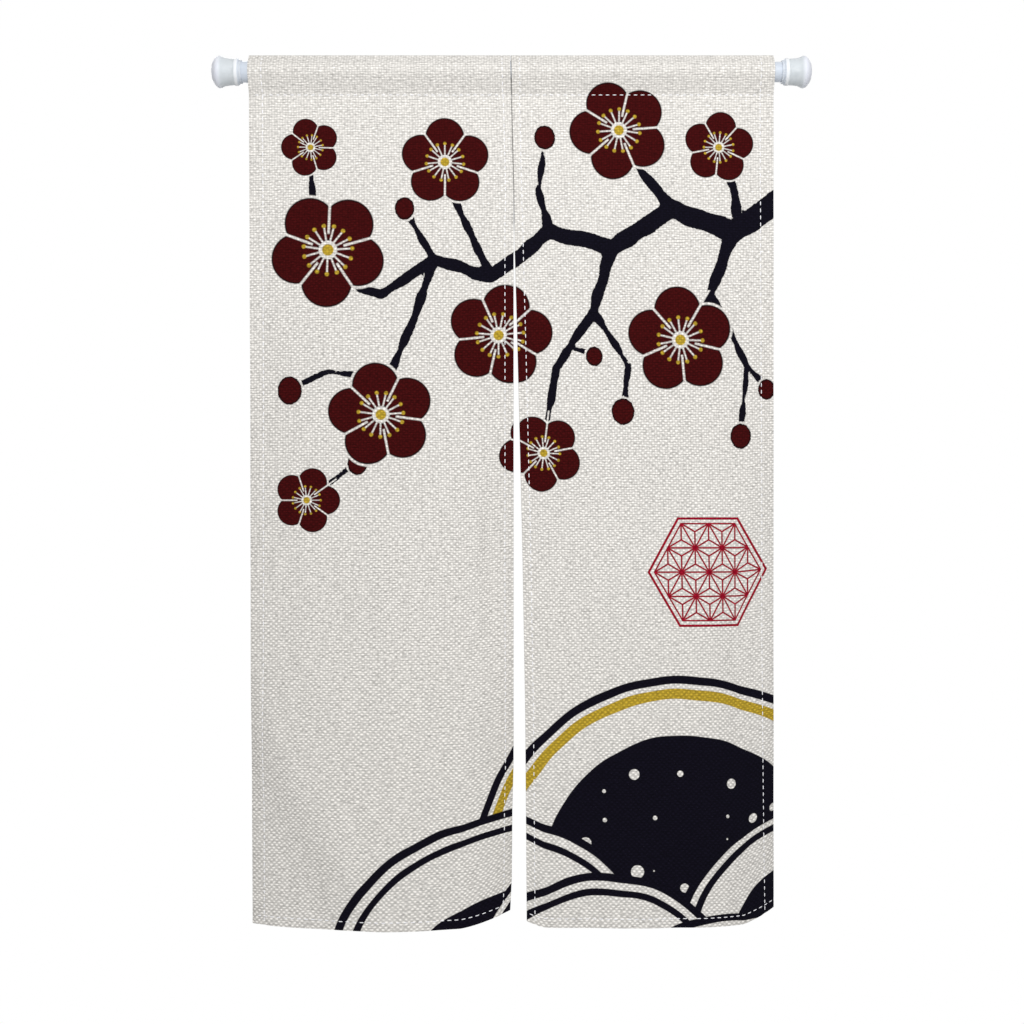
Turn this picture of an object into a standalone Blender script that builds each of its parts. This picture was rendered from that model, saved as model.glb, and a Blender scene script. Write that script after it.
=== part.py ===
"""Noren door curtain: two linen panels sewn side by side, hung on an adjustable tension rod.

X runs along the rod, Y points away from the viewer and Z points up. The origin is the middle of
the left end cap's flat wall face, on the rod's axis. All sizes are in metres.
"""

import functools
import math
from collections import namedtuple

import bmesh
import bpy
from mathutils import Matrix, Vector

# Rod: two telescoping steel tubes between two end caps
ROD_LENGTH = 0.980
OUTER_TUBE_RADIUS = 0.0172
INNER_TUBE_RADIUS = 0.0163
INNER_TUBE_WALL = 0.0006
OUTER_TUBE_END = 0.600
INNER_TUBE_START = 0.450
TUBE_SIDES = 36
PIECE_GAP = 0.0003

# End cap: sizes measured from the wall face
CAP_FACE_RADIUS = 0.0110
CAP_SOCKET_FLOOR = 0.0100
CAP_SIDES = 32

# Cloth
CLOTH_DROP = 1.436
CLOTH_THICKNESS = 0.0012
HEM_EXTRA = 0.0010
OUTER_HEM_WIDTH = 0.022
SLIT_HEM_WIDTH = 0.014
BOTTOM_HEM_DEPTH = 0.015
HEM_STEP = 0.0010
SEAM_GAP = 0.0003
SLIT_TOP_DROP = 0.262

# Rod pocket: a loop of cloth with a pressed crease on top, stitched under the rod
POCKET_SLACK = 0.0005
CREASE_HEIGHT = 0.0275
CREASE_BEND_RADIUS = 0.0016
STITCH_HEIGHT = -0.0377
FLAP_TAIL = 0.005
FLAP_BACK = 0.0020
POCKET_ARC_STEPS = 5

# Mesh steps across and down each panel
ACROSS_STEPS = 22
DOWN_STEPS = 27
SPREAD_SAMPLES = 44

CapPoint = namedtuple("CapPoint", "from_wall radius")
CAP_PROFILE = (
    CapPoint(0.0000, CAP_FACE_RADIUS),
    CapPoint(0.0022, 0.0170),
    CapPoint(0.0050, 0.0212),
    CapPoint(0.0085, 0.0246),
    CapPoint(0.0122, 0.0259),
    CapPoint(0.0154, 0.0251),
    CapPoint(0.0192, 0.0232),
    CapPoint(0.0240, 0.0220),
    CapPoint(0.0362, 0.0211),
    CapPoint(0.0376, 0.0218),
    CapPoint(0.0402, 0.0221),
    CapPoint(0.0428, 0.0216),
    CapPoint(0.0441, 0.0200),
    CapPoint(0.0450, 0.0192),
    CapPoint(0.0485, 0.0189),
)

# Where the cloth's edges and its middle seam meet the rod
CLOTH_LEFT = 0.0599
SEAM_AT = 0.4884
CLOTH_RIGHT = 0.9190
POCKET_END_DROP = CREASE_HEIGHT - STITCH_HEIGHT + FLAP_TAIL

# How the cloth hangs. Across is measured from a panel's left edge, drop from the crease, and
# recess is how far the cloth stands back from the rod's plane. Drift moves an edge sideways,
# a curl turns an edge back, a fold is a soft trough or ridge, a turn steps a hem corner back
# along a slanting line (slant is its across for each drop) and a lift draws up a hem corner.
Drift = namedtuple("Drift", "drop shift")
Curl = namedtuple("Curl", "start edge recess top_drop")
Fold = namedtuple("Fold", "across half_width top_drop full_drop end_drop recess")
Turn = namedtuple("Turn", "across drop slant half_width recess")
Lift = namedtuple("Lift", "start edge height power")
Panel = namedtuple(
    "Panel",
    "name left right left_hem right_hem hem_rise left_drift right_drift curls folds turns lifts")

LEFT_PANEL = Panel(
    name="panel_left",
    left=CLOTH_LEFT,
    right=SEAM_AT - SEAM_GAP / 2,
    left_hem=OUTER_HEM_WIDTH,
    right_hem=SLIT_HEM_WIDTH,
    hem_rise=0.0,
    left_drift=(
        Drift(0.000, 0.0000), Drift(0.500, -0.0003), Drift(0.925, -0.0010),
        Drift(1.235, -0.0022), Drift(CLOTH_DROP, -0.0024)),
    right_drift=(
        Drift(0.000, 0.0000), Drift(0.090, 0.0018), Drift(0.213, 0.0050),
        Drift(1.180, 0.0050), Drift(1.260, 0.0030), Drift(1.380, 0.0020),
        Drift(CLOTH_DROP, -0.0006)),
    curls=(
        Curl(0.170, 0.000, 0.038, POCKET_END_DROP),
        Curl(0.220, 0.428, 0.055, SLIT_TOP_DROP)),
    folds=(
        Fold(0.205, 0.060, 0.150, 0.800, 1.900, -0.0050),
        Fold(0.390, 0.019, 0.560, 0.820, 1.080, 0.0085)),
    turns=(
        Turn(0.057, 1.220, 0.53, 0.050, 0.0140),),
    lifts=(
        Lift(0.100, 0.000, 0.0006, 1.0),
        Lift(0.340, 0.428, 0.0215, 1.3)))

RIGHT_PANEL = Panel(
    name="panel_right",
    left=SEAM_AT + SEAM_GAP / 2,
    right=CLOTH_RIGHT,
    left_hem=SLIT_HEM_WIDTH,
    right_hem=OUTER_HEM_WIDTH,
    hem_rise=0.0065,
    left_drift=(
        Drift(0.000, 0.0000), Drift(0.090, 0.0018), Drift(0.213, 0.0050),
        Drift(0.319, 0.0067), Drift(0.467, 0.0108), Drift(0.663, 0.0157),
        Drift(0.827, 0.0194), Drift(1.089, 0.0239), Drift(1.318, 0.0256),
        Drift(CLOTH_DROP, 0.0264)),
    right_drift=(
        Drift(0.000, 0.0000), Drift(POCKET_END_DROP, 0.0000), Drift(CLOTH_DROP, 0.0098)),
    curls=(
        Curl(0.260, 0.431, 0.060, POCKET_END_DROP),
        Curl(0.060, 0.000, 0.007, SLIT_TOP_DROP)),
    folds=(
        Fold(0.150, 0.060, 0.250, 0.900, 1.900, -0.0050),
        Fold(0.255, 0.040, 0.350, 0.800, 1.800, 0.0035),
        Fold(0.374, 0.036, 0.600, 1.000, 1.600, 0.0080)),
    turns=(),
    lifts=(
        Lift(0.365, 0.431, 0.0195, 1.1),
        Lift(0.034, 0.000, 0.0090, 1.5)))


def clear_scene():
    """Remove every object that is already in the file."""
    for old in list(bpy.data.objects):
        bpy.data.objects.remove(old, do_unlink=True)


def plain_material(name, colour, roughness, metallic=0.0):
    """A Principled material of one colour."""
    material = bpy.data.materials.new(name)
    material.use_nodes = True
    shader = material.node_tree.nodes["Principled BSDF"]
    shader.inputs["Base Color"].default_value = (*colour, 1.0)
    shader.inputs["Roughness"].default_value = roughness
    shader.inputs["Metallic"].default_value = metallic
    return material


def finish_object(name, bm, material, parent, smooth_angle):
    """Turn a closed bmesh into a named, smooth-shaded object."""
    bmesh.ops.recalc_face_normals(bm, faces=bm.faces)
    mesh = bpy.data.meshes.new(name)
    bm.to_mesh(mesh)
    bm.free()
    mesh.materials.append(material)
    mesh.shade_smooth()
    mesh.set_sharp_from_angle(angle=math.radians(smooth_angle))
    obj = bpy.data.objects.new(name, mesh)
    bpy.context.scene.collection.objects.link(obj)
    obj.parent = parent
    return obj


def round_up(radius, sides):
    """Corner radius of a polygon whose flats stand at the given radius."""
    return radius / math.cos(math.pi / sides)


# Rod

def tube(name, start, end, radius, bore, material, parent):
    """An open steel tube along X."""
    bm = bmesh.new()
    along_x = Matrix.Rotation(math.radians(90.0), 4, "Y")
    rims = []
    for rim_radius in (radius, bore):
        made = bmesh.ops.create_circle(
            bm, segments=TUBE_SIDES, radius=rim_radius, cap_ends=False, matrix=along_x)
        rims += list({edge for vert in made["verts"] for edge in vert.link_edges})
    ring = bmesh.ops.bridge_loops(bm, edges=rims)["faces"]
    grown = bmesh.ops.extrude_face_region(bm, geom=ring, use_keep_orig=True)["geom"]
    far_verts = [item for item in grown if isinstance(item, bmesh.types.BMVert)]
    bmesh.ops.translate(bm, verts=far_verts, vec=(end - start, 0.0, 0.0))
    obj = finish_object(name, bm, material, parent, 40.0)
    obj.location.x = start
    return obj


def end_cap(name, tube_radius, material, parent):
    """A bell-shaped cap, turned round X: a flat wall face, a flange, a bead and a blind socket."""
    socket_radius = round_up(tube_radius + PIECE_GAP, CAP_SIDES)
    socket = (
        CapPoint(CAP_PROFILE[-1].from_wall, socket_radius),
        CapPoint(CAP_SOCKET_FLOOR, socket_radius))
    bm = bmesh.new()
    verts = [bm.verts.new((point.from_wall, 0.0, point.radius)) for point in CAP_PROFILE + socket]
    edges = [bm.edges.new(pair) for pair in zip(verts, verts[1:])]
    bmesh.ops.spin(
        bm, geom=verts + edges, cent=(0.0, 0.0, 0.0), axis=(1.0, 0.0, 0.0),
        angle=math.tau, steps=CAP_SIDES, use_merge=True)
    bmesh.ops.remove_doubles(bm, verts=bm.verts, dist=0.00001)
    open_edges = [edge for edge in bm.edges if edge.is_boundary]
    bmesh.ops.holes_fill(bm, edges=open_edges, sides=0)
    return finish_object(name, bm, material, parent, 38.0)


def build_rod(parent):
    """Both tubes and both end caps."""
    steel = plain_material("rod_white_enamel", (0.66, 0.70, 0.76), 0.32)
    plastic = plain_material("cap_white_plastic", (0.78, 0.80, 0.84), 0.38)
    tube_start = CAP_SOCKET_FLOOR + PIECE_GAP
    tube("rod_outer_tube", tube_start, OUTER_TUBE_END, OUTER_TUBE_RADIUS,
         round_up(INNER_TUBE_RADIUS + PIECE_GAP, TUBE_SIDES), steel, parent)
    tube("rod_inner_tube", INNER_TUBE_START, ROD_LENGTH - tube_start, INNER_TUBE_RADIUS,
         INNER_TUBE_RADIUS - INNER_TUBE_WALL, steel, parent)
    end_cap("cap_left", OUTER_TUBE_RADIUS, plastic, parent)
    right_cap = end_cap("cap_right", INNER_TUBE_RADIUS, plastic, parent)
    right_cap.location.x = ROD_LENGTH
    right_cap.rotation_euler.z = math.pi


# How the cloth hangs

def smooth_step(value, start, end):
    """0 up to start, 1 from end on, smooth between."""
    share = min(max((value - start) / (end - start), 0.0), 1.0)
    return share * share * (3.0 - 2.0 * share)


def growth(drop, top_drop):
    """How far a curl has opened at a drop: 0 at its top, 1 at the hem."""
    return max(drop - top_drop, 0.0) / (CLOTH_DROP - top_drop)


def toward_edge(across, start, edge):
    """0 on the panel's side of start, rising to 1 at the edge."""
    return max((across - start) / (edge - start), 0.0)


def recess_at(panel, across, drop):
    """How far back the cloth hangs at one place."""
    recess = 0.0
    for curl in panel.curls:
        reach = toward_edge(across, curl.start, curl.edge)
        recess += curl.recess * growth(drop, curl.top_drop) * reach ** 2
    for fold in panel.folds:
        bell = math.exp(-((across - fold.across) / fold.half_width) ** 2)
        opened = smooth_step(drop, fold.top_drop, fold.full_drop)
        closed = smooth_step(drop, fold.full_drop, fold.end_drop)
        recess += fold.recess * bell * (opened - closed)
    for turn in panel.turns:
        past = turn.slant * (drop - turn.drop) - (across - turn.across)
        past /= math.hypot(1.0, turn.slant)
        recess += turn.recess * smooth_step(past, -turn.half_width, turn.half_width)
    return recess


def lift_at(panel, across, drop):
    """How far the cloth is drawn up towards a hem corner."""
    lift = panel.hem_rise
    for corner in panel.lifts:
        reach = toward_edge(across, corner.start, corner.edge)
        lift += corner.height * reach ** corner.power
    return lift * growth(drop, POCKET_END_DROP) ** 2


def drift_at(table, drop):
    """Sideways shift of a panel's edge, from its table."""
    for upper, lower in zip(table, table[1:]):
        if drop <= lower.drop:
            share = (drop - upper.drop) / (lower.drop - upper.drop)
            return upper.shift + (lower.shift - upper.shift) * share
    return table[-1].shift


@functools.lru_cache(maxsize=None)
def spread(panel, drop):
    """Share of the hung width used up at each of the evenly spaced samples across a panel."""
    step = (panel.right - panel.left) / SPREAD_SAMPLES
    recesses = [recess_at(panel, step * index, drop) for index in range(SPREAD_SAMPLES + 1)]
    reach = [0.0]
    for near, far in zip(recesses, recesses[1:]):
        reach.append(reach[-1] + math.sqrt(max(step ** 2 - (far - near) ** 2, 0.0)))
    return [value / reach[-1] for value in reach]


def cloth_point(panel, across, drop):
    """Where the cloth's middle hangs: a point of the flat panel carried to its folds."""
    shares = spread(panel, drop)
    place = across / (panel.right - panel.left) * SPREAD_SAMPLES
    index = min(max(int(place), 0), SPREAD_SAMPLES - 1)
    share = shares[index] + (shares[index + 1] - shares[index]) * (place - index)
    left = panel.left + drift_at(panel.left_drift, drop)
    right = panel.right + drift_at(panel.right_drift, drop)
    height = CREASE_HEIGHT - drop + lift_at(panel, across, drop)
    return Vector((left + (right - left) * share, recess_at(panel, across, drop), height))


def cloth_back(panel, across, drop):
    """Unit direction out of the cloth's back face."""
    small = 0.002
    along = cloth_point(panel, across + small, drop) - cloth_point(panel, across - small, drop)
    down = cloth_point(panel, across, drop + small) - cloth_point(panel, across, drop - small)
    return along.cross(down).normalized()


# Cloth solids

def pocket_middle(side):
    """Middle of the pocket's cloth from beside the crease to above the stitch, as (y, z)."""
    radius = OUTER_TUBE_RADIUS + POCKET_SLACK + CLOTH_THICKNESS / 2
    crease_centre = CREASE_HEIGHT - CLOTH_THICKNESS / 2 - CREASE_BEND_RADIUS
    top_angle = math.acos((radius - CREASE_BEND_RADIUS) / crease_centre)
    bottom_angle = math.pi - math.acos(radius / -STITCH_HEIGHT)
    points = []
    for share in (0.5, 1.0):
        angle = top_angle * share
        points.append((CREASE_BEND_RADIUS * math.sin(angle) * side,
                       crease_centre + CREASE_BEND_RADIUS * math.cos(angle)))
    for index in range(POCKET_ARC_STEPS + 1):
        angle = top_angle + (bottom_angle - top_angle) * index / POCKET_ARC_STEPS
        points.append((radius * math.sin(angle) * side, radius * math.cos(angle)))
    return points


def thicken(points, side):
    """Outer and inner points of a cloth loop, half the cloth's thickness to each side."""
    pairs = []
    for before, point, after in zip(points, points[1:], points[2:]):
        into = Vector((point[0] - before[0], point[1] - before[1])).normalized()
        out = Vector((after[0] - point[0], after[1] - point[1])).normalized()
        turned = Vector((-(into + out).y, (into + out).x)).normalized() * side
        reach = CLOTH_THICKNESS / 2 / abs(turned.dot(Vector((-into.y, into.x))))
        middle = Vector(point)
        pairs.append((middle + turned * reach, middle - turned * reach))
    return pairs


def section_faces(bm, sheet_drops):
    """The panel's upright section at x = 0: the pocket loop, its flap and the hanging sheet."""
    half = CLOTH_THICKNESS / 2
    crease = (0.0, CREASE_HEIGHT - half)
    top_pair = [bm.verts.new((0.0, 0.0, crease[1] + half)),
                bm.verts.new((0.0, 0.0, crease[1] - half))]
    stitch_inner = bm.verts.new((0.0, half, STITCH_HEIGHT))
    stitch_front = bm.verts.new((0.0, -half, STITCH_HEIGHT))
    stitch_back = bm.verts.new((0.0, FLAP_BACK, STITCH_HEIGHT))
    faces = []
    for side, stitch_outer in ((-1.0, stitch_front), (1.0, stitch_back)):
        stitch_middle = (stitch_outer.co.y / 2 + half / 2, STITCH_HEIGHT)
        loop = thicken([crease] + pocket_middle(side) + [stitch_middle], side)
        chain = [top_pair]
        chain += [[bm.verts.new((0.0, *place)) for place in pair] for pair in loop]
        chain.append([stitch_outer, stitch_inner])
        for upper, lower in zip(chain, chain[1:]):
            faces.append(bm.faces.new((upper[0], upper[1], lower[1], lower[0])))
    row = [stitch_front, stitch_inner, stitch_back]
    for index, drop in enumerate(sheet_drops):
        depths = (-half, half, FLAP_BACK) if index == 0 else (-half, half)
        below = [bm.verts.new((0.0, depth, CREASE_HEIGHT - drop)) for depth in depths]
        for column in range(len(depths) - 1):
            faces.append(bm.faces.new(
                (row[column], row[column + 1], below[column + 1], below[column])))
        row = below
    return faces


def even_steps(start, end, steps):
    """Evenly spaced values from start to end, both included."""
    return [start + (end - start) * index / steps for index in range(steps + 1)]


def in_hem(panel, across, drop):
    """Whether a place lies on a turned and sewn edge."""
    width = panel.right - panel.left
    beside = across < panel.left_hem or across > width - panel.right_hem
    return beside or drop > CLOTH_DROP - BOTTOM_HEM_DEPTH


def build_panel(panel, material, parent):
    """One closed cloth solid: the section carried across the panel, then hung in its folds."""
    width = panel.right - panel.left
    half_step = HEM_STEP / 2
    columns = [0.0] + even_steps(
        panel.left_hem + half_step, width - panel.right_hem - half_step, ACROSS_STEPS) + [width]
    columns += [panel.left_hem - half_step, width - panel.right_hem + half_step]
    columns.sort()
    hem_top = CLOTH_DROP - BOTTOM_HEM_DEPTH
    drops = even_steps(POCKET_END_DROP, hem_top - half_step, DOWN_STEPS)
    drops += [hem_top + half_step, CLOTH_DROP]

    bm = bmesh.new()
    grown = section_faces(bm, drops)
    for near, far in zip(columns, columns[1:]):
        grown = bmesh.ops.extrude_face_region(
            bm, geom=grown, use_keep_orig=near == columns[0])["geom"]
        moved = [item for item in grown if isinstance(item, bmesh.types.BMVert)]
        bmesh.ops.translate(bm, verts=moved, vec=(far - near, 0.0, 0.0))
    for vert in bm.verts:
        across, depth, height = vert.co
        drop = CREASE_HEIGHT - height
        on_sheet_back = drop > POCKET_END_DROP - HEM_STEP and 0.0 < depth < FLAP_BACK / 2
        if on_sheet_back and in_hem(panel, across, drop):
            depth += HEM_EXTRA
        vert.co = cloth_point(panel, across, drop) + cloth_back(panel, across, drop) * depth
    finish_object(panel.name, bm, material, parent, 50.0)


def main():
    clear_scene()
    frame = bpy.data.objects.new("noren_frame", None)
    bpy.context.scene.collection.objects.link(frame)
    build_rod(frame)
    linen = plain_material("slub_linen", (0.76, 0.74, 0.70), 0.9)
    for panel in (LEFT_PANEL, RIGHT_PANEL):
        build_panel(panel, linen, frame)


main()
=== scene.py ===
"""Noren door curtain: two printed linen panels on an adjustable tension rod, dressed for rendering.

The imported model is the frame: X along the rod, Y away from the viewer, Z up, in metres.
"""

import math
from collections import namedtuple

import bpy
import numpy as np
from bpy.props import FloatProperty, FloatVectorProperty, IntProperty, PointerProperty
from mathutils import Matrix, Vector


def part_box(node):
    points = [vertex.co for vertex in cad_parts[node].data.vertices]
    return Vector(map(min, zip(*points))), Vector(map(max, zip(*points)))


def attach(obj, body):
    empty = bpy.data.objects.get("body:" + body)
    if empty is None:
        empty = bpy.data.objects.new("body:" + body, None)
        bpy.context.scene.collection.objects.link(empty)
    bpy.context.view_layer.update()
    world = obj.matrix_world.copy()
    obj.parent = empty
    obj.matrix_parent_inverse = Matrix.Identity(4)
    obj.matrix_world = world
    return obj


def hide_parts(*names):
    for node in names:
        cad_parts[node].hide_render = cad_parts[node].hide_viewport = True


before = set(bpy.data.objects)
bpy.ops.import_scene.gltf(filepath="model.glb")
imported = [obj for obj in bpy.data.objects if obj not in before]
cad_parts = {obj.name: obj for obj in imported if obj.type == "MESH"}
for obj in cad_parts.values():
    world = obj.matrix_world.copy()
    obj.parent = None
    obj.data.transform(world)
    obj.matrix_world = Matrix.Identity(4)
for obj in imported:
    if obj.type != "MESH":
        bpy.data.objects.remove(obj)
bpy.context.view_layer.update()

bl_info = {
    "name": "Noren Curtain",
    "version": (1, 0, 0),
    "blender": (4, 5, 0),
    "location": "3D View > Sidebar > Noren",
    "description": "Hangs a printed two-panel door curtain on its tension rod",
    "category": "Object",
}


def rows(kind, *values):
    """A table's rows, each made a named tuple of the given kind."""
    return tuple(kind(*row) for row in values)


# Sizes read from the frame
CREASE_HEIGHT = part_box("panel_left")[1].z
CLOTH_DROP = CREASE_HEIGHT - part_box("panel_left")[0].z
ROD_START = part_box("cap_left")[0].x
ROD_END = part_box("cap_right")[1].x
CAP_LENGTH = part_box("cap_left")[1].x - ROD_START
OUTER_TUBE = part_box("rod_outer_tube")
INNER_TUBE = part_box("rod_inner_tube")
OUTER_TUBE_RADIUS = OUTER_TUBE[1].z
INNER_TUBE_RADIUS = INNER_TUBE[1].z

# Cloth sizes that the frame's boxes don't show
CLOTH_LEFT = 0.0599
SEAM_AT = 0.4884
CLOTH_RIGHT = 0.9190
SEAM_GAP = 0.0003
SEAM_ACROSS = SEAM_AT - CLOTH_LEFT
SEAM_ROLL_RADIUS = 0.0021
SEAM_INSET = 0.00047
SLIT_TOP_DROP = 0.262
STITCH_DROP = CREASE_HEIGHT + 0.0377
FLAP_TAIL = 0.005
POCKET_END_DROP = STITCH_DROP + FLAP_TAIL

# The sewn edges above the slit: from and to which drop they shut, part again, roll and end
SEAM_SHUTS = (0.040, 0.048)
SEAM_PARTS = (0.062, 0.072)
SEAM_ROLLS = (0.062, 0.074)
SEAM_ENDS = (SLIT_TOP_DROP - 0.014, SLIT_TOP_DROP + 0.008)
SEAM_SHUT_SHARE = 0.95
SEAM_INSET_WIDTH = 0.010
SEAM_PULL_WIDTH = 0.100
# Painted shade in the seam's groove: the drops over which it fades out below the slit's top, and the
# distances beside the seam over which it fades
SEAM_SHADE_ENDS = (SLIT_TOP_DROP, SLIT_TOP_DROP + 0.034)
SEAM_SHADE_EDGE = (0.0004, 0.0016)
PUCKER_DROP = 0.076
PUCKER_WIDTH = 0.006
PUCKER_HEIGHT = 0.0006

# How the cloth hangs. Across is measured from a panel's left edge, drop from the crease, and
# recess is how far the cloth stands back from the rod's plane. Drift moves an edge sideways,
# a curl turns an edge back, a fold is a soft trough or ridge, a turn steps a hem corner back
# along a slanting line (slant is its across for each drop) and a lift draws up a hem corner.
Drift = namedtuple("Drift", "drop shift")
Curl = namedtuple("Curl", "start edge recess top_drop")
Fold = namedtuple("Fold", "across half_width top_drop full_drop end_drop recess")
Turn = namedtuple("Turn", "across drop slant half_width recess")
Lift = namedtuple("Lift", "start edge height power")
Ripple = namedtuple("Ripple", "across_wave down_wave phase height")
Panel = namedtuple(
    "Panel",
    "name node left right left_hem right_hem hem_rise left_drift right_drift curls folds turns lifts"
    " print_start rests_on")

OUTER_STITCH = 0.022
SLIT_STITCH = 0.014
BOTTOM_STITCH = 0.015
HEM_BEYOND_STITCH = 0.002

LEFT_PANEL = Panel(
    name="noren_panel_left",
    node="panel_left",
    left=CLOTH_LEFT,
    right=SEAM_AT - SEAM_GAP / 2,
    left_hem=OUTER_STITCH,
    right_hem=SLIT_STITCH,
    hem_rise=0.0,
    left_drift=(
        Drift(0.000, 0.0000), Drift(0.500, -0.0003), Drift(0.925, -0.0010),
        Drift(1.235, -0.0022), Drift(CLOTH_DROP, -0.0024)),
    right_drift=(
        Drift(0.000, 0.0000), Drift(0.090, 0.0018), Drift(0.213, 0.0050),
        Drift(1.180, 0.0050), Drift(1.260, 0.0030), Drift(1.380, 0.0020),
        Drift(CLOTH_DROP, -0.0006)),
    curls=(
        Curl(0.170, 0.000, 0.038, POCKET_END_DROP),
        Curl(0.220, 0.428, 0.055, SLIT_TOP_DROP)),
    folds=(
        Fold(0.205, 0.060, 0.150, 0.800, 1.900, -0.0050),
        Fold(0.390, 0.019, 0.560, 0.820, 1.080, 0.0085)),
    turns=(Turn(0.057, 1.220, 0.53, 0.050, 0.0140),),
    lifts=(
        Lift(0.100, 0.000, 0.0006, 1.0),
        Lift(0.340, 0.428, 0.0215, 1.3)),
    print_start=0.0,
    rests_on=("rod_tube_outer",))

RIGHT_PANEL = Panel(
    name="noren_panel_right",
    node="panel_right",
    left=SEAM_AT + SEAM_GAP / 2,
    right=CLOTH_RIGHT,
    left_hem=SLIT_STITCH,
    right_hem=OUTER_STITCH,
    hem_rise=0.0065,
    left_drift=(
        Drift(0.000, 0.0000), Drift(0.090, 0.0018), Drift(0.213, 0.0050),
        Drift(0.319, 0.0067), Drift(0.467, 0.0108), Drift(0.663, 0.0157),
        Drift(0.827, 0.0194), Drift(1.089, 0.0239), Drift(1.318, 0.0256),
        Drift(CLOTH_DROP, 0.0264)),
    right_drift=(
        Drift(0.000, 0.0000), Drift(POCKET_END_DROP, 0.0000), Drift(CLOTH_DROP, 0.0098)),
    curls=(
        Curl(0.260, 0.431, 0.060, POCKET_END_DROP),
        Curl(0.060, 0.000, 0.007, SLIT_TOP_DROP)),
    folds=(
        Fold(0.150, 0.060, 0.250, 0.900, 1.900, -0.0050),
        Fold(0.255, 0.040, 0.350, 0.800, 1.800, 0.0035),
        Fold(0.374, 0.036, 0.600, 1.000, 1.600, 0.0080)),
    turns=(),
    lifts=(
        Lift(0.365, 0.431, 0.0195, 1.1),
        Lift(0.034, 0.000, 0.0090, 1.5)),
    print_start=SEAM_ACROSS,
    rests_on=("rod_tube_outer", "rod_tube_inner"))

PANELS = (LEFT_PANEL, RIGHT_PANEL)

# Small unevenness of the hung cloth, on top of its folds
RIPPLES = rows(
    Ripple,
    (0.190, 2.900, 0.4, 0.0009),
    (0.117, -1.700, 2.1, 0.0006),
    (0.071, 1.300, 4.0, 0.0003),
    (0.260, 0.420, 5.2, 0.0006),
    (-0.330, 0.270, 1.3, 0.0004),
)
RIPPLES_FULL_DROP = 0.45


# Shape of the hung cloth

def smooth_step(value, start, end):
    """0 up to start, 1 from end on, smooth between."""
    share = np.clip((value - start) / (end - start), 0.0, 1.0)
    return share * share * (3.0 - 2.0 * share)


def growth(drop, top_drop):
    """How far a curl has opened at a drop: 0 at its top, 1 at the hem."""
    return np.maximum(drop - top_drop, 0.0) / (CLOTH_DROP - top_drop)


def toward_edge(across, start, edge):
    """0 on the panel's side of start, rising to 1 at the edge."""
    return np.maximum((across - start) / (edge - start), 0.0)


def recess_at(panel, across, drop):
    """How far back the cloth hangs, for arrays of places."""
    recess = np.zeros(np.broadcast(across, drop).shape)
    for curl in panel.curls:
        reach = toward_edge(across, curl.start, curl.edge)
        recess += curl.recess * growth(drop, curl.top_drop) * reach ** 2
    for fold in panel.folds:
        bell = np.exp(-((across - fold.across) / fold.half_width) ** 2)
        opened = smooth_step(drop, fold.top_drop, fold.full_drop)
        closed = smooth_step(drop, fold.full_drop, fold.end_drop)
        recess += fold.recess * bell * (opened - closed)
    for turn in panel.turns:
        past = turn.slant * (drop - turn.drop) - (across - turn.across)
        past = past / math.hypot(1.0, turn.slant)
        recess += turn.recess * smooth_step(past, -turn.half_width, turn.half_width)
    return recess


def ripple_at(panel, across, drop):
    """Small soft waves, which die out where the cloth is held at the pocket."""
    along = across + panel.print_start
    waves = sum(
        ripple.height * np.sin(
            math.tau * (along / ripple.across_wave + drop / ripple.down_wave) + ripple.phase)
        for ripple in RIPPLES)
    return waves * smooth_step(drop, POCKET_END_DROP, RIPPLES_FULL_DROP)


def seam_distance(panel, across):
    """How far places of the flat cloth are from the seam."""
    return np.abs(across + panel.print_start - SEAM_ACROSS)


def seam_roll(panel, across, drop):
    """Where the sewn edges go above the slit: the move away from the seam, and the recess.

    They nearly touch, and roll back to each other below the pocket.
    """
    gap = seam_distance(panel, across)
    sewn = 1.0 - smooth_step(drop, *SEAM_ENDS)
    rolled = sewn * smooth_step(drop, *SEAM_ROLLS)
    arc = math.pi / 2 * SEAM_ROLL_RADIUS
    angle = np.maximum(arc - gap, 0.0) / SEAM_ROLL_RADIUS
    taken = np.minimum(gap, arc) - SEAM_ROLL_RADIUS * (1.0 - np.sin(angle))
    taken = taken * (1.0 - smooth_step(gap, arc, SEAM_PULL_WIDTH))
    closed = smooth_step(drop, *SEAM_SHUTS) * (1.0 - smooth_step(drop, *SEAM_PARTS))
    inset = SEAM_INSET * (1.0 - SEAM_SHUT_SHARE * closed)
    away = sewn * inset * np.exp(-gap / SEAM_INSET_WIDTH) - rolled * taken
    recess = rolled * SEAM_ROLL_RADIUS * (1.0 - np.cos(angle))
    from_pucker = ((drop - PUCKER_DROP) / PUCKER_WIDTH) ** 2
    pucker = PUCKER_HEIGHT * np.exp(-(gap / PUCKER_WIDTH) ** 2 - from_pucker)
    return away, recess + rolled * pucker


def seam_groove(panel, across, drop):
    """Painted shade, 1 in the seam's groove and the shut top of the slit, 0 beside it."""
    beside = seam_distance(panel, across) + seam_roll(panel, across, drop)[0]
    shut = 1.0 - smooth_step(drop, *SEAM_SHADE_ENDS)
    return shut * (1.0 - smooth_step(beside, *SEAM_SHADE_EDGE))


def lift_at(panel, across, drop):
    """How far the cloth is drawn up towards a hem corner."""
    lift = np.full(across.shape, panel.hem_rise)
    for corner in panel.lifts:
        reach = toward_edge(across, corner.start, corner.edge)
        lift += corner.height * reach ** corner.power
    return lift * growth(drop, POCKET_END_DROP) ** 2


def drift_at(table, drop):
    """Sideways shift of a panel's edge, from its table."""
    return np.interp(drop, [row.drop for row in table], [row.shift for row in table])


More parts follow.
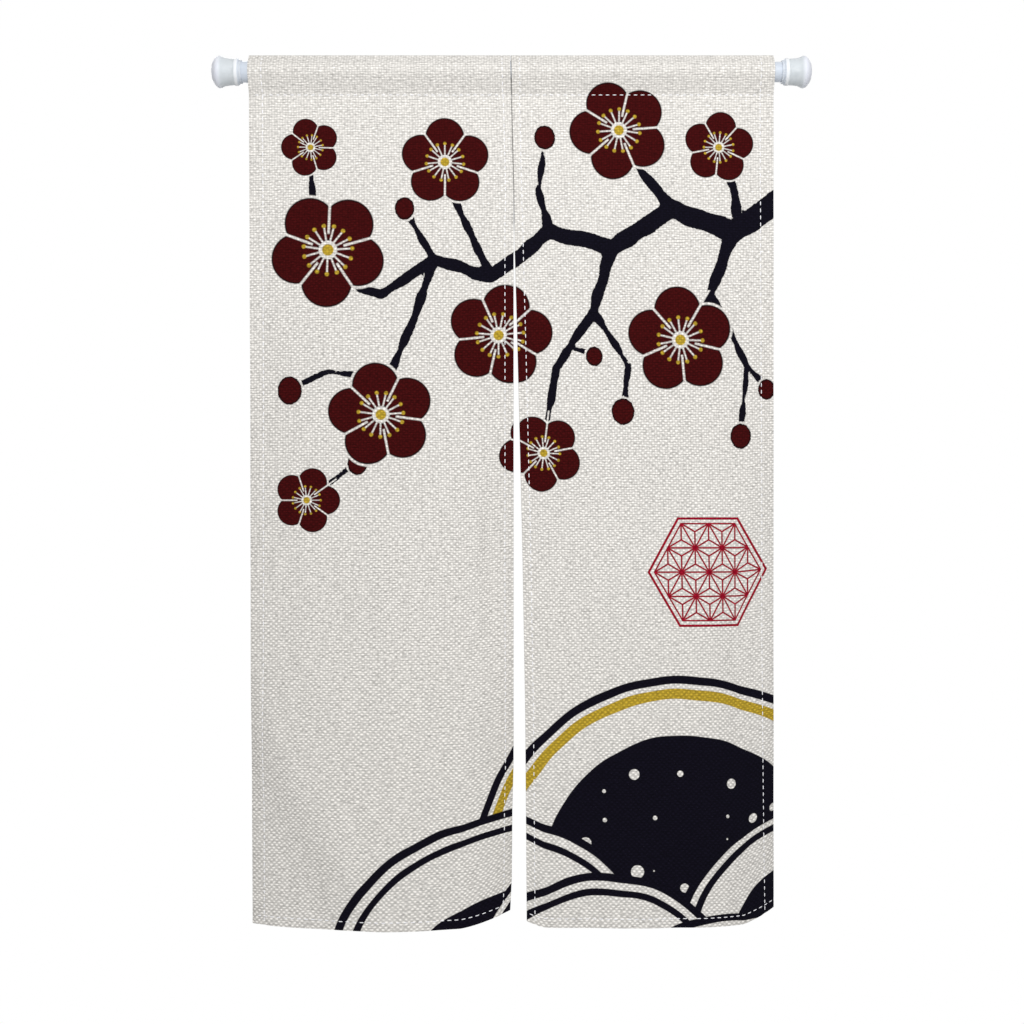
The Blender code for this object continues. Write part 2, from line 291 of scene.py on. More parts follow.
def hang(panel, across, drop):
    """Carries points of the flat panel to where they hang, as rows of x, y, z."""
    samples = 44
    width = panel.right - panel.left
    across = np.clip(across, 0.0, width)
    levels, level = np.unique(np.round(drop, 6), return_inverse=True)
    stations = np.linspace(0.0, width, samples + 1)[None, :]
    steps = np.diff(recess_at(panel, stations, levels[:, None]), axis=1)
    reach = np.sqrt(np.maximum((width / samples) ** 2 - steps ** 2, 0.0)).cumsum(axis=1)
    shares = np.concatenate([np.zeros((len(levels), 1)), reach / reach[:, -1:]], axis=1)
    place = np.minimum(across / width * samples, samples - 1e-6)
    index = place.astype(int)
    near, far = shares[level, index], shares[level, index + 1]
    left = panel.left + drift_at(panel.left_drift, drop)
    right = panel.right + drift_at(panel.right_drift, drop)
    away, rolled_back = seam_roll(panel, across, drop)
    side = -1.0 if panel is LEFT_PANEL else 1.0
    return np.stack([
        left + (right - left) * (near + (far - near) * (place - index)) + side * away,
        recess_at(panel, across, drop) + ripple_at(panel, across, drop) + rolled_back,
        CREASE_HEIGHT - drop + lift_at(panel, across, drop)], axis=1)


def back_of(panel, across, drop):
    """Unit directions out of the cloth's back face."""
    narrow = 0.0004
    small = 0.002
    along = hang(panel, across + narrow, drop) - hang(panel, across - narrow, drop)
    down = hang(panel, across, drop + small) - hang(panel, across, drop - small)
    back = np.cross(along, down)
    return back / np.linalg.norm(back, axis=1, keepdims=True)


# The cloth's own path: up the back of the pocket, over the crease, down the front, round the hem.
# "along" is measured on the cloth from the crease, and is negative behind it.

CLOTH_THICKNESS = 0.0006
LAYER_PITCH = 0.0008
FRONT_DEPTH = -0.0003
TURN_RADIUS = LAYER_PITCH / 2
TURN_LENGTH = math.pi * TURN_RADIUS
CORNER_TURN_RADIUS = 1.5 * LAYER_PITCH
CREASE_BEND_RADIUS = 0.0019
POCKET_RADIUS = OUTER_TUBE_RADIUS + 0.0014
POCKET_TAIL = 0.012
PATH_PITCH = 0.0005
STITCH_DENT_WIDTH = 0.0018
STITCH_DENT_DEPTH = 0.00025
HEM_STEP_WIDTH = 0.006

# How far above its stitch the pocket's flap starts and ends leaving room for the side hems
FLAP_ROOM = (0.034, 0.002)


def pocket_side(side, end_depth):
    """The pocket from its crease to its stitch, as arrays of along, depth and drop."""
    crease_centre = CREASE_HEIGHT - CLOTH_THICKNESS / 2 - CREASE_BEND_RADIUS
    top_angle = math.acos((POCKET_RADIUS - CREASE_BEND_RADIUS) / crease_centre)
    low_angle = math.pi - math.acos(POCKET_RADIUS / (STITCH_DROP - CREASE_HEIGHT))
    bend = np.linspace(0.0, top_angle, 9)
    hug = np.linspace(top_angle, low_angle, 40)
    depth = np.concatenate([
        CREASE_BEND_RADIUS * np.sin(bend), POCKET_RADIUS * np.sin(hug), [side * end_depth]]) * side
    height = np.concatenate([
        crease_centre + CREASE_BEND_RADIUS * np.cos(bend), POCKET_RADIUS * np.cos(hug),
        [CREASE_HEIGHT - STITCH_DROP]])
    depth = np.append(depth, end_depth)
    drop = np.append(CREASE_HEIGHT - height, STITCH_DROP + POCKET_TAIL)
    along = np.append(0.0, np.hypot(np.diff(depth), np.diff(drop)).cumsum())
    fine = np.arange(0.0, along[-1], PATH_PITCH)
    return fine, np.interp(fine, along, depth), np.interp(fine, along, drop)


def softened(values, reach):
    """A moving average that leaves the two ends where they are."""
    window = np.ones(2 * reach + 1) / (2 * reach + 1)
    padded = np.concatenate([
        2 * values[0] - values[reach:0:-1], values, 2 * values[-1] - values[-2:-reach - 2:-1]])
    return np.convolve(padded, window, mode="valid")


def cloth_path():
    """The whole pocket's path in one table, from the flap's end to below the front's stitch."""
    back_along, back_depth, back_drop = pocket_side(1.0, FRONT_DEPTH + LAYER_PITCH)
    front_along, front_depth, front_drop = pocket_side(-1.0, FRONT_DEPTH)
    along = np.concatenate([-back_along[:0:-1], front_along])
    depth = softened(np.concatenate([back_depth[:0:-1], front_depth]), 3)
    drop = softened(np.concatenate([back_drop[:0:-1], front_drop]), 3)
    return along, depth, drop


PATH_ALONG, PATH_DEPTH, PATH_DROP = cloth_path()
STITCH_ALONG = float(np.interp(STITCH_DROP, PATH_DROP[PATH_ALONG > 0], PATH_ALONG[PATH_ALONG > 0]))
FLAP_END_ALONG = -STITCH_ALONG - FLAP_TAIL
HEM_ALONG = STITCH_ALONG + CLOTH_DROP - STITCH_DROP


def side_turn(across, width):
    """Folds the side hems back: where each flat place lies across the panel, and how deep."""
    beyond = TURN_LENGTH / 2 - np.minimum(across, width - across)
    angle = np.clip(beyond / TURN_RADIUS, 0.0, math.pi)
    inset = np.where(
        beyond < 0.0, -beyond + TURN_LENGTH / 2,
        TURN_LENGTH / 2 - TURN_RADIUS * np.sin(angle) + np.maximum(beyond - TURN_LENGTH, 0.0))
    layer = TURN_RADIUS * (1.0 - np.cos(angle))
    return np.where(across < width / 2, inset, width - inset), layer


def hem_cover(panel, across, soft):
    """1 where a side hem doubles the cloth, 0 past its raw edge."""
    width = panel.right - panel.left
    left_end = panel.left_hem + HEM_BEYOND_STITCH
    right_end = panel.right_hem + HEM_BEYOND_STITCH
    left = 1.0 - smooth_step(across, left_end, left_end + soft)
    right = 1.0 - smooth_step(width - across, right_end, right_end + soft)
    return np.maximum(left, right)


def stitch_nearness(panel, across, along):
    """1 on a line of stitching, falling to 0 a few millimetres beside it."""
    width = panel.right - panel.left
    gaps = np.minimum.reduce([
        np.abs(across - panel.left_hem),
        np.abs(width - panel.right_hem - across),
        np.abs(np.abs(along) - STITCH_ALONG),
        np.abs(HEM_ALONG - BOTTOM_STITCH - along)])
    return np.exp(-(gaps / STITCH_DENT_WIDTH) ** 2)


def place_cloth(panel, flat_across, along, raised=0.0):
    """Points of the cloth's middle, hung; raised moves them out of its printed face."""
    width = panel.right - panel.left
    across, layer = side_turn(flat_across, width)
    on_face = layer < TURN_RADIUS
    layer = layer - raised
    dent = STITCH_DENT_DEPTH * stitch_nearness(panel, across, along)
    layer += np.where(on_face, dent, 0.0)
    depth = np.interp(along, PATH_ALONG, PATH_DEPTH)
    drop = np.interp(along, PATH_ALONG, PATH_DROP)
    drop += np.maximum(along - PATH_ALONG[-1], 0.0)
    small = 0.0005
    into_depth = np.interp(along + small, PATH_ALONG, PATH_DEPTH)
    into_depth -= np.interp(along - small, PATH_ALONG, PATH_DEPTH)
    into_drop = np.interp(along + small, PATH_ALONG, PATH_DROP)
    into_drop -= np.interp(along - small, PATH_ALONG, PATH_DROP)
    below = along > PATH_ALONG[-1] - small
    into_depth = np.where(below, 0.0, into_depth)
    into_drop = np.where(below, 1.0, into_drop)
    length = np.hypot(into_depth, into_drop)
    inner_depth, inner_drop = into_drop / length, -into_depth / length

    covered = hem_cover(panel, across, HEM_STEP_WIDTH)
    flap = smooth_step(-along, *(STITCH_ALONG - above for above in FLAP_ROOM))
    depth += 2 * LAYER_PITCH * covered * flap

    radius = TURN_RADIUS + (CORNER_TURN_RADIUS - TURN_RADIUS) * covered
    beyond = along - (HEM_ALONG - math.pi / 2 * radius)
    angle = np.clip(beyond / radius, 0.0, math.pi)
    turned = beyond > 0.0
    past = np.maximum(beyond - math.pi * radius, 0.0)
    depth = np.where(turned, FRONT_DEPTH + radius * (1.0 - np.cos(angle)), depth)
    drop = np.where(turned, CLOTH_DROP - math.pi / 2 * radius + radius * np.sin(angle) - past, drop)
    inner_depth = np.where(turned, np.cos(angle), inner_depth)
    inner_drop = np.where(turned, -np.sin(angle), inner_drop)

    depth += inner_depth * layer
    drop += inner_drop * layer
    return hang(panel, across, drop) + back_of(panel, across, drop) * depth[:, None]


# The print: plum branch, wave hills and a hemp-leaf hexagon. Places are metres on the
# cloth, across from its left edge and down from the crease, with the strokes' half widths.

Stroke = namedtuple("Stroke", "across down half_width")
Blossom = namedtuple("Blossom", "across down radius turn")
Hill = namedtuple("Hill", "across down radius line_at line_width gold_at gold_width fill_at dots")

BRANCHES = (
    rows(Stroke, (0.895, 0.232, 0.020), (0.790, 0.300, 0.018), (0.690, 0.264, 0.015),
         (0.590, 0.326, 0.014), (0.486, 0.300, 0.012), (0.392, 0.374, 0.011),
         (0.300, 0.346, 0.009), (0.214, 0.404, 0.007), (0.150, 0.386, 0.005)),
    rows(Stroke, (0.690, 0.264, 0.011), (0.642, 0.206, 0.007), (0.604, 0.170, 0.005)),
    rows(Stroke, (0.590, 0.326, 0.011), (0.556, 0.430, 0.008), (0.492, 0.524, 0.0065),
         (0.470, 0.640, 0.005)),
    rows(Stroke, (0.392, 0.374, 0.008), (0.352, 0.290, 0.006), (0.318, 0.214, 0.005)),
    rows(Stroke, (0.300, 0.346, 0.008), (0.268, 0.440, 0.0065), (0.226, 0.540, 0.006),
         (0.180, 0.672, 0.0045), (0.110, 0.730, 0.004)),
    rows(Stroke, (0.790, 0.300, 0.012), (0.752, 0.400, 0.008), (0.724, 0.470, 0.006)),
    rows(Stroke, (0.226, 0.540, 0.005), (0.130, 0.530, 0.0045), (0.070, 0.556, 0.004)),
    rows(Stroke, (0.556, 0.430, 0.006), (0.612, 0.520, 0.005), (0.604, 0.590, 0.004)),
    rows(Stroke, (0.752, 0.400, 0.0065), (0.812, 0.520, 0.005), (0.800, 0.630, 0.004)),
    rows(Stroke, (0.812, 0.520, 0.0045), (0.846, 0.556, 0.004)),
    rows(Stroke, (0.486, 0.300, 0.008), (0.470, 0.230, 0.005), (0.482, 0.150, 0.004)),
    rows(Stroke, (0.170, 0.392, 0.006), (0.104, 0.270, 0.005), (0.100, 0.180, 0.004)),
    rows(Stroke, (0.800, 0.294, 0.009), (0.792, 0.226, 0.006), (0.768, 0.172, 0.0045)),
    rows(Stroke, (0.300, 0.346, 0.006), (0.254, 0.266, 0.004)),
    rows(Stroke, (0.516, 0.490, 0.005), (0.556, 0.502, 0.004)),
)
BUDS = rows(
    Stroke,
    (0.482, 0.146, 0.017), (0.602, 0.596, 0.019), (0.800, 0.636, 0.018),
    (0.252, 0.262, 0.016), (0.176, 0.680, 0.016), (0.556, 0.505, 0.014),
    (0.846, 0.560, 0.015), (0.066, 0.560, 0.020),
)
BLOSSOMS = rows(
    Blossom,
    (0.318, 0.186, 0.072, 0.3), (0.128, 0.330, 0.094, 0.9),
    (0.404, 0.470, 0.084, 0.1), (0.214, 0.600, 0.086, 0.5),
    (0.604, 0.134, 0.082, 0.7), (0.768, 0.162, 0.058, 0.2),
    (0.700, 0.478, 0.088, 0.4), (0.468, 0.664, 0.064, 0.8),
    (0.100, 0.162, 0.048, 0.6), (0.094, 0.740, 0.054, 0.0),
)
HILLS = rows(
    Hill,
    (0.690, 1.360, 0.330, 0.966, 0.000, 0.885, 0.052, 0.700, 1.0),
    (0.395, 1.540, 0.270, 0.860, 0.040, 0.000, 0.000, 0.500, 0.0),
    (0.862, 1.470, 0.190, 0.820, 0.060, 0.000, 0.000, 0.480, 0.0),
    (0.560, 1.580, 0.225, 0.840, 0.050, 0.000, 0.000, 0.560, 0.0),
    (0.760, 1.640, 0.215, 0.840, 0.050, 0.000, 0.000, 0.600, 0.0),
)
HEMP_LEAF_AT = (0.742, 0.860)
HEMP_LEAF_CELL = 0.040


def stroke_distance(across, down, near, far):
    """Signed distance to a stroke that tapers from one round end to the other."""
    along = Vector((far.across - near.across, far.down - near.down))
    share = (across - near.across) * along.x + (down - near.down) * along.y
    share = np.clip(share / along.length_squared, 0.0, 1.0)
    gap = np.hypot(across - near.across - share * along.x, down - near.down - share * along.y)
    return gap - (near.half_width + (far.half_width - near.half_width) * share)


def branch_distance(across, down):
    """Signed distance to the whole plum branch."""
    pairs = [pair for branch in BRANCHES for pair in zip(branch, branch[1:])]
    nearest = np.minimum.reduce([stroke_distance(across, down, *pair) for pair in pairs])
    knots = 0.0011 * np.sin(across * 110.0 + 2.0 * np.sin(down * 70.0))
    return nearest + knots + 0.0009 * np.sin(down * 130.0 + across * 50.0)


def bud_distance(across, down):
    """Signed distance to the nearest plum bud."""
    gaps = [np.hypot(across - bud.across, (down - bud.down) * 0.86) - bud.half_width for bud in BUDS]
    return np.minimum.reduce(gaps)


def blossom_local(across, down):
    """Places in the nearest blossom's own frame, with 1 in the third column close to it."""
    local = np.zeros((len(across), 3))
    best = np.full(len(across), np.inf)
    for blossom in BLOSSOMS:
        x = (across - blossom.across) / blossom.radius
        y = (down - blossom.down) / blossom.radius
        rim_gap = (np.hypot(x, y) - 1.0) * blossom.radius
        nearer = rim_gap < best
        best = np.where(nearer, rim_gap, best)
        turned_x = x * math.cos(blossom.turn) - y * math.sin(blossom.turn)
        turned_y = x * math.sin(blossom.turn) + y * math.cos(blossom.turn)
        close = (rim_gap < 0.0075).astype(float)
        local[nearer] = np.stack([turned_x, turned_y, close], axis=1)[nearer]
    return local


# Small helpers for modelling

def deselect_all():
    bpy.ops.object.select_all(action="DESELECT")


def dress(obj, slot, *nodes):
    """Rides a finished piece on the frame and hides the nodes that it stands for. The slot is not used.
    """
    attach(obj, "root")
    if nodes:
        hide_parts(*nodes)


def object_from(name, verts, faces, materials):
    """A mesh object at the origin from arrays of points and quads."""
    mesh = bpy.data.meshes.new(name)
    mesh.from_pydata(verts.tolist(), [], faces)
    for material in materials:
        mesh.materials.append(material)
    mesh.update()
    obj = bpy.data.objects.new(name, mesh)
    bpy.context.scene.collection.objects.link(obj)
    return obj


def linear(colour):
    """Linear values of a colour given as 0 to 255 screen values."""
    parts = []
    for value in colour:
        share = value / 255
        parts.append(share / 12.92 if share <= 0.04045 else ((share + 0.055) / 1.055) ** 2.4)
    return tuple(parts)


# Node building

class Wire:
    """One output of a node. Sums with it add the nodes that work them out."""

    def __init__(self, graph, socket):
        self.graph = graph
        self.socket = socket

    def __add__(self, other):
        return self.graph.math("ADD", self, other)

    def __radd__(self, other):
        return self.graph.math("ADD", other, self)

    def __sub__(self, other):
        return self.graph.math("SUBTRACT", self, other)

    def __rsub__(self, other):
        return self.graph.math("SUBTRACT", other, self)

    def __mul__(self, other):
        return self.graph.math("MULTIPLY", self, other)

    def __truediv__(self, other):
        return self.graph.math("DIVIDE", self, other)

    def __rtruediv__(self, other):
        return self.graph.math("DIVIDE", other, self)

    def __abs__(self):
        return self.graph.math("ABSOLUTE", self)


class Graph:
    """Adds nodes to a tree. Any input may be a number, a colour, a vector or a wire."""

    def __init__(self, tree):
        self.tree = tree

    def put(self, socket, value):
        if isinstance(value, Wire):
            self.tree.links.new(value.socket, socket)
        elif isinstance(value, (int, float)):
            socket.default_value = value
        else:
            wanted = len(socket.default_value)
            socket.default_value = (tuple(value) + (1.0,))[:wanted]

    def node(self, kind, inputs=(), **settings):
        node = self.tree.nodes.new(kind)
        node.location = (len(self.tree.nodes) // 12 * 190, len(self.tree.nodes) % 12 * -170)
        for name, value in settings.items():
            setattr(node, name, value)
        for name, value in dict(inputs).items():
            self.put(node.inputs[name], value)
        return node

    def wires(self, node):
        """All outputs of a node by their names."""
        return {socket.name: Wire(self, socket) for socket in node.outputs}

    def output(self, name, kind, inputs=(), **settings):
        """Adds a node and gives back one of its outputs."""
        return Wire(self, self.node(kind, inputs, **settings).outputs[name])

    def math(self, operation, *values, clamp=False):
        node = self.node("ShaderNodeMath", operation=operation, use_clamp=clamp)
        for socket, value in zip(node.inputs, values):
            self.put(socket, value)
        return Wire(self, node.outputs[0])

    def vector(self, operation, *values):
        node = self.node("ShaderNodeVectorMath", operation=operation)
        for socket, value in zip(node.inputs, values):
            self.put(socket, value)
        return self.wires(node)["Value" if operation in {"LENGTH", "DOT_PRODUCT"} else "Vector"]

    def most(self, first, *others):
        """The largest of several values."""
        for other in others:
            first = self.math("MAXIMUM", first, other)
        return first

    def least(self, first, *others):
        """The smallest of several values."""
        for other in others:
            first = self.math("MINIMUM", first, other)
        return first

    def ramp(self, value, start, end, low, high, kind="LINEAR"):
        """Low up to start, high from end on."""
        return self.output("Result", "ShaderNodeMapRange", {
            "Value": value, "From Min": start, "From Max": end, "To Min": low,
            "To Max": high}, interpolation_type=kind)

    def below(self, value, level, soft):
        """1 where value is under level, 0 over it, with a soft step between."""
        return self.ramp(value, level - soft, level + soft, 1.0, 0.0)

    def band(self, value, low, high, soft):
        """1 where value lies between low and high."""
        under = self.below(value, high, soft)
        return self.math("SUBTRACT", under, self.below(value, low, soft), clamp=True)

    def mix(self, share, first, second, blend="MIX"):
        node = self.node("ShaderNodeMix", data_type="RGBA", blend_type=blend)
        for index, value in ((0, share), (6, first), (7, second)):
            self.put(node.inputs[index], value)
        return Wire(self, node.outputs[2])

    def noise(self, vector, scale, detail=2.0, name="Fac"):
        return self.output(name, "ShaderNodeTexNoise", {
            "Vector": vector, "Scale": scale, "Detail": detail})

    def attribute(self, attribute, name="Fac"):
        return self.output(name, "ShaderNodeAttribute", attribute_name=attribute)

    def split(self, vector):
        return self.wires(self.node("ShaderNodeSeparateXYZ", {"Vector": vector}))

    def join(self, x, y, z=0.0):
        return self.output("Vector", "ShaderNodeCombineXYZ", {"X": x, "Y": y, "Z": z})


def new_group(name, inputs):
    """A new node group's graph and its inputs: a vector where None stands, or else a value."""
    tree = bpy.data.node_groups.new(name, "ShaderNodeTree")
    for title, default in inputs.items():
        kind = "NodeSocketVector" if default is None else "NodeSocketFloat"
        socket = tree.interface.new_socket(name=title, in_out="INPUT", socket_type=kind)
        if default is not None:
            socket.default_value = default
    graph = Graph(tree)
    return graph, graph.wires(graph.node("NodeGroupInput"))


def finish_group(graph, outputs):
    """Gives a node group its named outputs."""
    for title in outputs:
        graph.tree.interface.new_socket(name=title, in_out="OUTPUT", socket_type="NodeSocketFloat")
    graph.node("NodeGroupOutput", outputs)


def use_group(graph, tree, inputs):
    """Places a node group with its own values and gives back its outputs."""
    return graph.wires(graph.node("ShaderNodeGroup", inputs, node_tree=tree, label=tree.name))


WEAVE_BASE = 0.80
WEAVE_PEAK = 1.5


def weave_group():
    """Coarse plain weave: thread height, and shade about a mean of 1.

    Floats is how strongly the weft's floats show as pale ovals, Cells how strongly both threads
    do as a fine grid, and Checks how strongly every other crossing stands out.
    """
    graph, given = new_group("Plain Weave", {
        "Cloth": None, "Warp Pitch": 0.0044, "Weft Pitch": 0.0041, "Floats": 0.6, "Cells": 0.0,
        "Checks": 0.0})

    def wave(place):
        return graph.math("COSINE", place * math.pi)

    def uneven(stretch, scale):
        place = graph.vector("MULTIPLY", given["Cloth"], stretch)
        return (graph.noise(place, scale, 0.0) - 0.5) * 7.0

    drift = graph.vector("SUBTRACT", graph.noise(given["Cloth"], 62.0, 2.0, "Color"), (0.5, 0.5, 0.5))
    drift = graph.vector("MULTIPLY", drift, (0.0050, 0.0042, 0.0))
    at = graph.split(graph.vector("ADD", given["Cloth"], drift))
    warp = at["X"] / given["Warp Pitch"]
    weft = at["Y"] / given["Weft Pitch"]
    rising = (warp + weft) * 0.5
    falling = (warp - weft) * 0.5
    rising_index = graph.math("ROUND", rising)
    falling_index = graph.math("ROUND", falling)
    rising_rest = rising - rising_index
    falling_rest = falling - falling_index
    across = rising_rest + falling_rest
    down = rising_rest - falling_rest
    oval = graph.vector("LENGTH", graph.join(across / 0.75, down / 0.46))
    crown = graph.ramp(oval, 0.10, 1.0, 1.0, 0.0, "SMOOTHSTEP")

    across_wave, down_wave = wave(across), wave(down)
    lattice = across_wave * down_wave
    own = graph.output("Value", "ShaderNodeTexWhiteNoise", {
        "Vector": graph.join(rising_index, falling_index)}, noise_dimensions="3D")
    dash = uneven((1.0, 2.3, 1.0), 170.0)
    streak = uneven((0.2, 1.7, 1.0), 230.0)
    size = own * 0.5 + dash * 0.25 + streak * 0.12 + 0.75
    thread = lattice * 0.07 + dash * 0.07 + streak * 0.05 + WEAVE_BASE
    cell = graph.math("POWER", abs(down_wave), 0.8) * (abs(across_wave) * 0.7 + 0.3)
    cell = cell * (dash * 0.2 + 1.0)
    shade = thread + crown * size * given["Floats"] + cell * given["Cells"]
    shade = shade + lattice * given["Checks"]
    mean = given["Floats"] * 0.176 + given["Cells"] * 0.515 + WEAVE_BASE
    finish_group(graph, {
        "Height": cell * 0.4 + crown,
        "Shade": graph.most(graph.least(shade / mean, WEAVE_PEAK), 0.45)})


def blossom_group():
    """A five-petalled plum blossom in its own round frame of radius 1."""
    graph, given = new_group("Plum Blossom", {"Local": None, "Soft": 0.010})
    soft = given["Soft"]
    at = graph.split(given["Local"])
    radius = graph.math("SQRT", at["X"] * at["X"] + at["Y"] * at["Y"])
    angle = graph.math("ARCTAN2", at["Y"], at["X"])
    near = graph.math("GREATER_THAN", at["Z"], 0.5)

    def lobe_distance(folded, reach, size):
        cosine = graph.math("COSINE", folded) * (-2.0 * reach)
        return graph.math("SQRT", radius * (radius + cosine) + reach ** 2) - size

    petal_turn = math.tau / 10
    petal_fold = graph.math("WRAP", angle, petal_turn, -petal_turn)
    petal_gap = lobe_distance(petal_fold, 0.56, 0.44)
    parting = radius * graph.math("SINE", petal_turn - abs(petal_fold))
    parted = graph.below(parting, 0.020, soft) * graph.band(radius, 0.28, 1.1, soft)
    stamen_turn = petal_turn / 3
    stamen_fold = graph.math("WRAP", angle, stamen_turn, -stamen_turn)
    stalk_gap = radius * abs(graph.math("SINE", stamen_fold))
    stalk = graph.below(stalk_gap, 0.014, soft) * graph.band(radius, 0.15, 0.40, soft)
    tip = graph.below(lobe_distance(stamen_fold, 0.42, 0.036), 0.0, soft)
    parts = {
        "Halo": graph.below(petal_gap, 0.045, soft),
        "Petal": graph.below(petal_gap, 0.0, soft),
        "Heart": graph.below(petal_gap, -0.026, 0.012),
        "Bare": graph.most(parted, stalk, graph.below(radius, 0.16, soft)),
        "Gold": graph.most(tip, graph.below(radius, 0.10, soft)),
    }
    finish_group(graph, {name: value * near for name, value in parts.items()})


def hill_group():
    """A round wave hill: what it covers, its dark lines and fill, and its gold band."""
    graph, given = new_group("Wave Hill", {
        "Cloth": None, "Centre": None, "Radius": 0.3, "Outline": 0.045, "Line At": 0.88,
        "Line Width": 0.04, "Gold At": 0.0, "Gold Width": 0.0, "Fill At": 0.7, "Dots": 0.0})

    def from_centre(place):
        return graph.vector("LENGTH", graph.vector("SUBTRACT", place, given["Centre"]))

    waver = (graph.noise(given["Cloth"], 9.0, 1.0) - 0.5) * 0.012
    reach = (from_centre(given["Cloth"]) + waver) / given["Radius"]
    soft = 0.0005 / given["Radius"]
    lines = graph.most(
        graph.band(reach, 1.0 - given["Outline"], 1.0, soft),
        graph.band(reach, given["Line At"], given["Line At"] + given["Line Width"], soft),
        graph.below(reach, given["Fill At"], soft))
    cells = graph.wires(graph.node("ShaderNodeTexVoronoi", {
        "Vector": given["Cloth"], "Scale": 24.0, "Randomness": 0.7}, voronoi_dimensions="2D"))
    dot_size = graph.split(cells["Color"])["X"] * 0.46 - 0.20
    dot_reach = from_centre(cells["Position"]) / given["Radius"]
    inside = graph.below(dot_reach, given["Fill At"] - 0.10, soft)
    dots = graph.below(cells["Distance"], dot_size, 0.012) * inside * given["Dots"]
    finish_group(graph, {
        "Cover": graph.below(reach, given["Outline"] * -0.5 + 1.0, soft),
        "Ink": graph.math("SUBTRACT", lines, dots, clamp=True),
        "Gold": graph.band(
            reach, given["Gold At"], given["Gold At"] + given["Gold Width"], soft)})


def hemp_leaf_group():
    """The hemp-leaf lattice inside a double hexagon."""
    graph, given = new_group("Hemp Leaf", {
        "Cloth": None, "Centre": None, "Cell": 0.04, "Line": 0.0014})
    arm = graph.vector("SUBTRACT", given["Cloth"], given["Centre"])
    spread = []
    for step in range(3):
        turn = math.pi / 2 + step * math.tau / 3
        across = graph.vector("DOT_PRODUCT", arm, (math.cos(turn), math.sin(turn), 0.0))
        spread.append(across / given["Cell"])
    parts = [graph.math("FRACT", value) for value in spread]
    flipped = graph.math("GREATER_THAN", parts[0] + parts[1] + parts[2], 1.5)
    flip = flipped * -2.0 + 1.0
    parts = [part * flip + flipped for part in parts]
    least = graph.least(*parts)
    middle = 1.0 - least - graph.most(*parts)
    spoke = (middle - least) / math.sqrt(3.0)
    thin = given["Line"] / given["Cell"]
    lattice = graph.below(graph.least(least, spoke), thin, 0.010)
    hexagon = graph.most(*(abs(value) for value in spread))
    inside = graph.below(hexagon, thin + 2.0, 0.010)
    finish_group(graph, {
        "Line Work": graph.most(lattice * inside, graph.band(hexagon, 2.16, 2.26, 0.010))})


def wear_group():
    """Soft marks of handling: a slow mottling and fine scuffs."""
    graph, given = new_group("Handling Marks", {"Place": None, "Size": 60.0})
    stretched = graph.vector("MULTIPLY", given["Place"], (0.25, 1.0, 1.0))
    streaks = graph.noise(stretched, given["Size"] * 9.0, 4.0)
    finish_group(graph, {
        "Mottle": graph.noise(given["Place"], given["Size"], 3.0),
        "Scuff": graph.below(streaks, 0.36, 0.04)})


# Materials

def new_material(name, roughness, **values):
    """A material's graph and its Principled shader, with constants on their own sockets."""
    material = bpy.data.materials.new(name)
    material.use_nodes = True
    graph = Graph(material.node_tree)
    shader = material.node_tree.nodes["Principled BSDF"]
    shader.location = (2600, 0)
    material.node_tree.nodes["Material Output"].location = (2900, 0)
    shader.inputs["Roughness"].default_value = roughness
    for key, value in values.items():
        shader.inputs[key.replace("_", " ")].default_value = value
    return material, graph, shader


def finish_surface(graph, shader, height, strength, distance, **values):
    """Joins what changes over a surface to its shader, with the surface's small relief."""
    for key, value in values.items():
        graph.put(shader.inputs[key.replace("_", " ")], value)
    graph.put(shader.inputs["Normal"], graph.output("Normal", "ShaderNodeBump", {
        "Strength": strength, "Distance": distance, "Height": height}))


def handled(graph, groups, size):
    """Places on the piece, and the marks of handling there."""
    place = graph.output("Object", "ShaderNodeTexCoord")
    return place, use_group(graph, groups.wear, {"Place": place, "Size": size})


def shaded(share, colour):
    return tuple(share * value for value in colour)


def print_colour(graph, groups, at, colour, weave, strength):
    """Lays the print's motifs over the cloth's colour and gives back the result."""

    def ink(share, below, tone):
        return graph.mix(share * strength, below, tone)

    cloth = colour.cloth
    brush = graph.noise(at, 160.0, 3.0) * 0.0030 - 0.0015
    brush = brush + (1.0 - weave["Shade"]) * 0.0010
    branch = graph.attribute("branch_distance") + brush
    tinted = ink(graph.below(branch, 0.0, 0.0004), cloth, colour.ink)
    for hill in HILLS:
        shape = use_group(graph, groups.hill, {
            "Cloth": at, "Centre": (hill.across, hill.down, 0.0), "Radius": hill.radius,
            "Outline": 0.013 / hill.radius, "Line At": hill.line_at,
            "Line Width": hill.line_width, "Gold At": hill.gold_at,
            "Gold Width": hill.gold_width, "Fill At": hill.fill_at, "Dots": hill.dots})
        tinted = graph.mix(shape["Cover"], tinted, cloth)
        tinted = ink(shape["Ink"], tinted, colour.ink)
        tinted = ink(shape["Gold"], tinted, colour.gold)
    bud = graph.attribute("bud_distance") + brush
    tinted = graph.mix(graph.below(bud, 0.0030, 0.0004), tinted, cloth)
    tinted = ink(graph.below(bud, 0.0, 0.0004), tinted, colour.red_edge)
    tinted = ink(graph.below(bud, -0.0022, 0.0012), tinted, colour.red)
    flower = use_group(
        graph, groups.blossom, {"Local": graph.attribute("blossom_local", "Vector")})
    tinted = graph.mix(flower["Halo"], tinted, cloth)
    tinted = ink(flower["Petal"], tinted, colour.red_edge)
    tinted = ink(flower["Heart"], tinted, colour.red)
    tinted = graph.mix(flower["Bare"], tinted, cloth)
    tinted = ink(flower["Gold"], tinted, colour.gold)
    leaf = use_group(graph, groups.hemp_leaf, {
        "Cloth": at, "Centre": (*HEMP_LEAF_AT, 0.0), "Cell": HEMP_LEAF_CELL})
    return ink(leaf["Line Work"], tinted, colour.crimson)


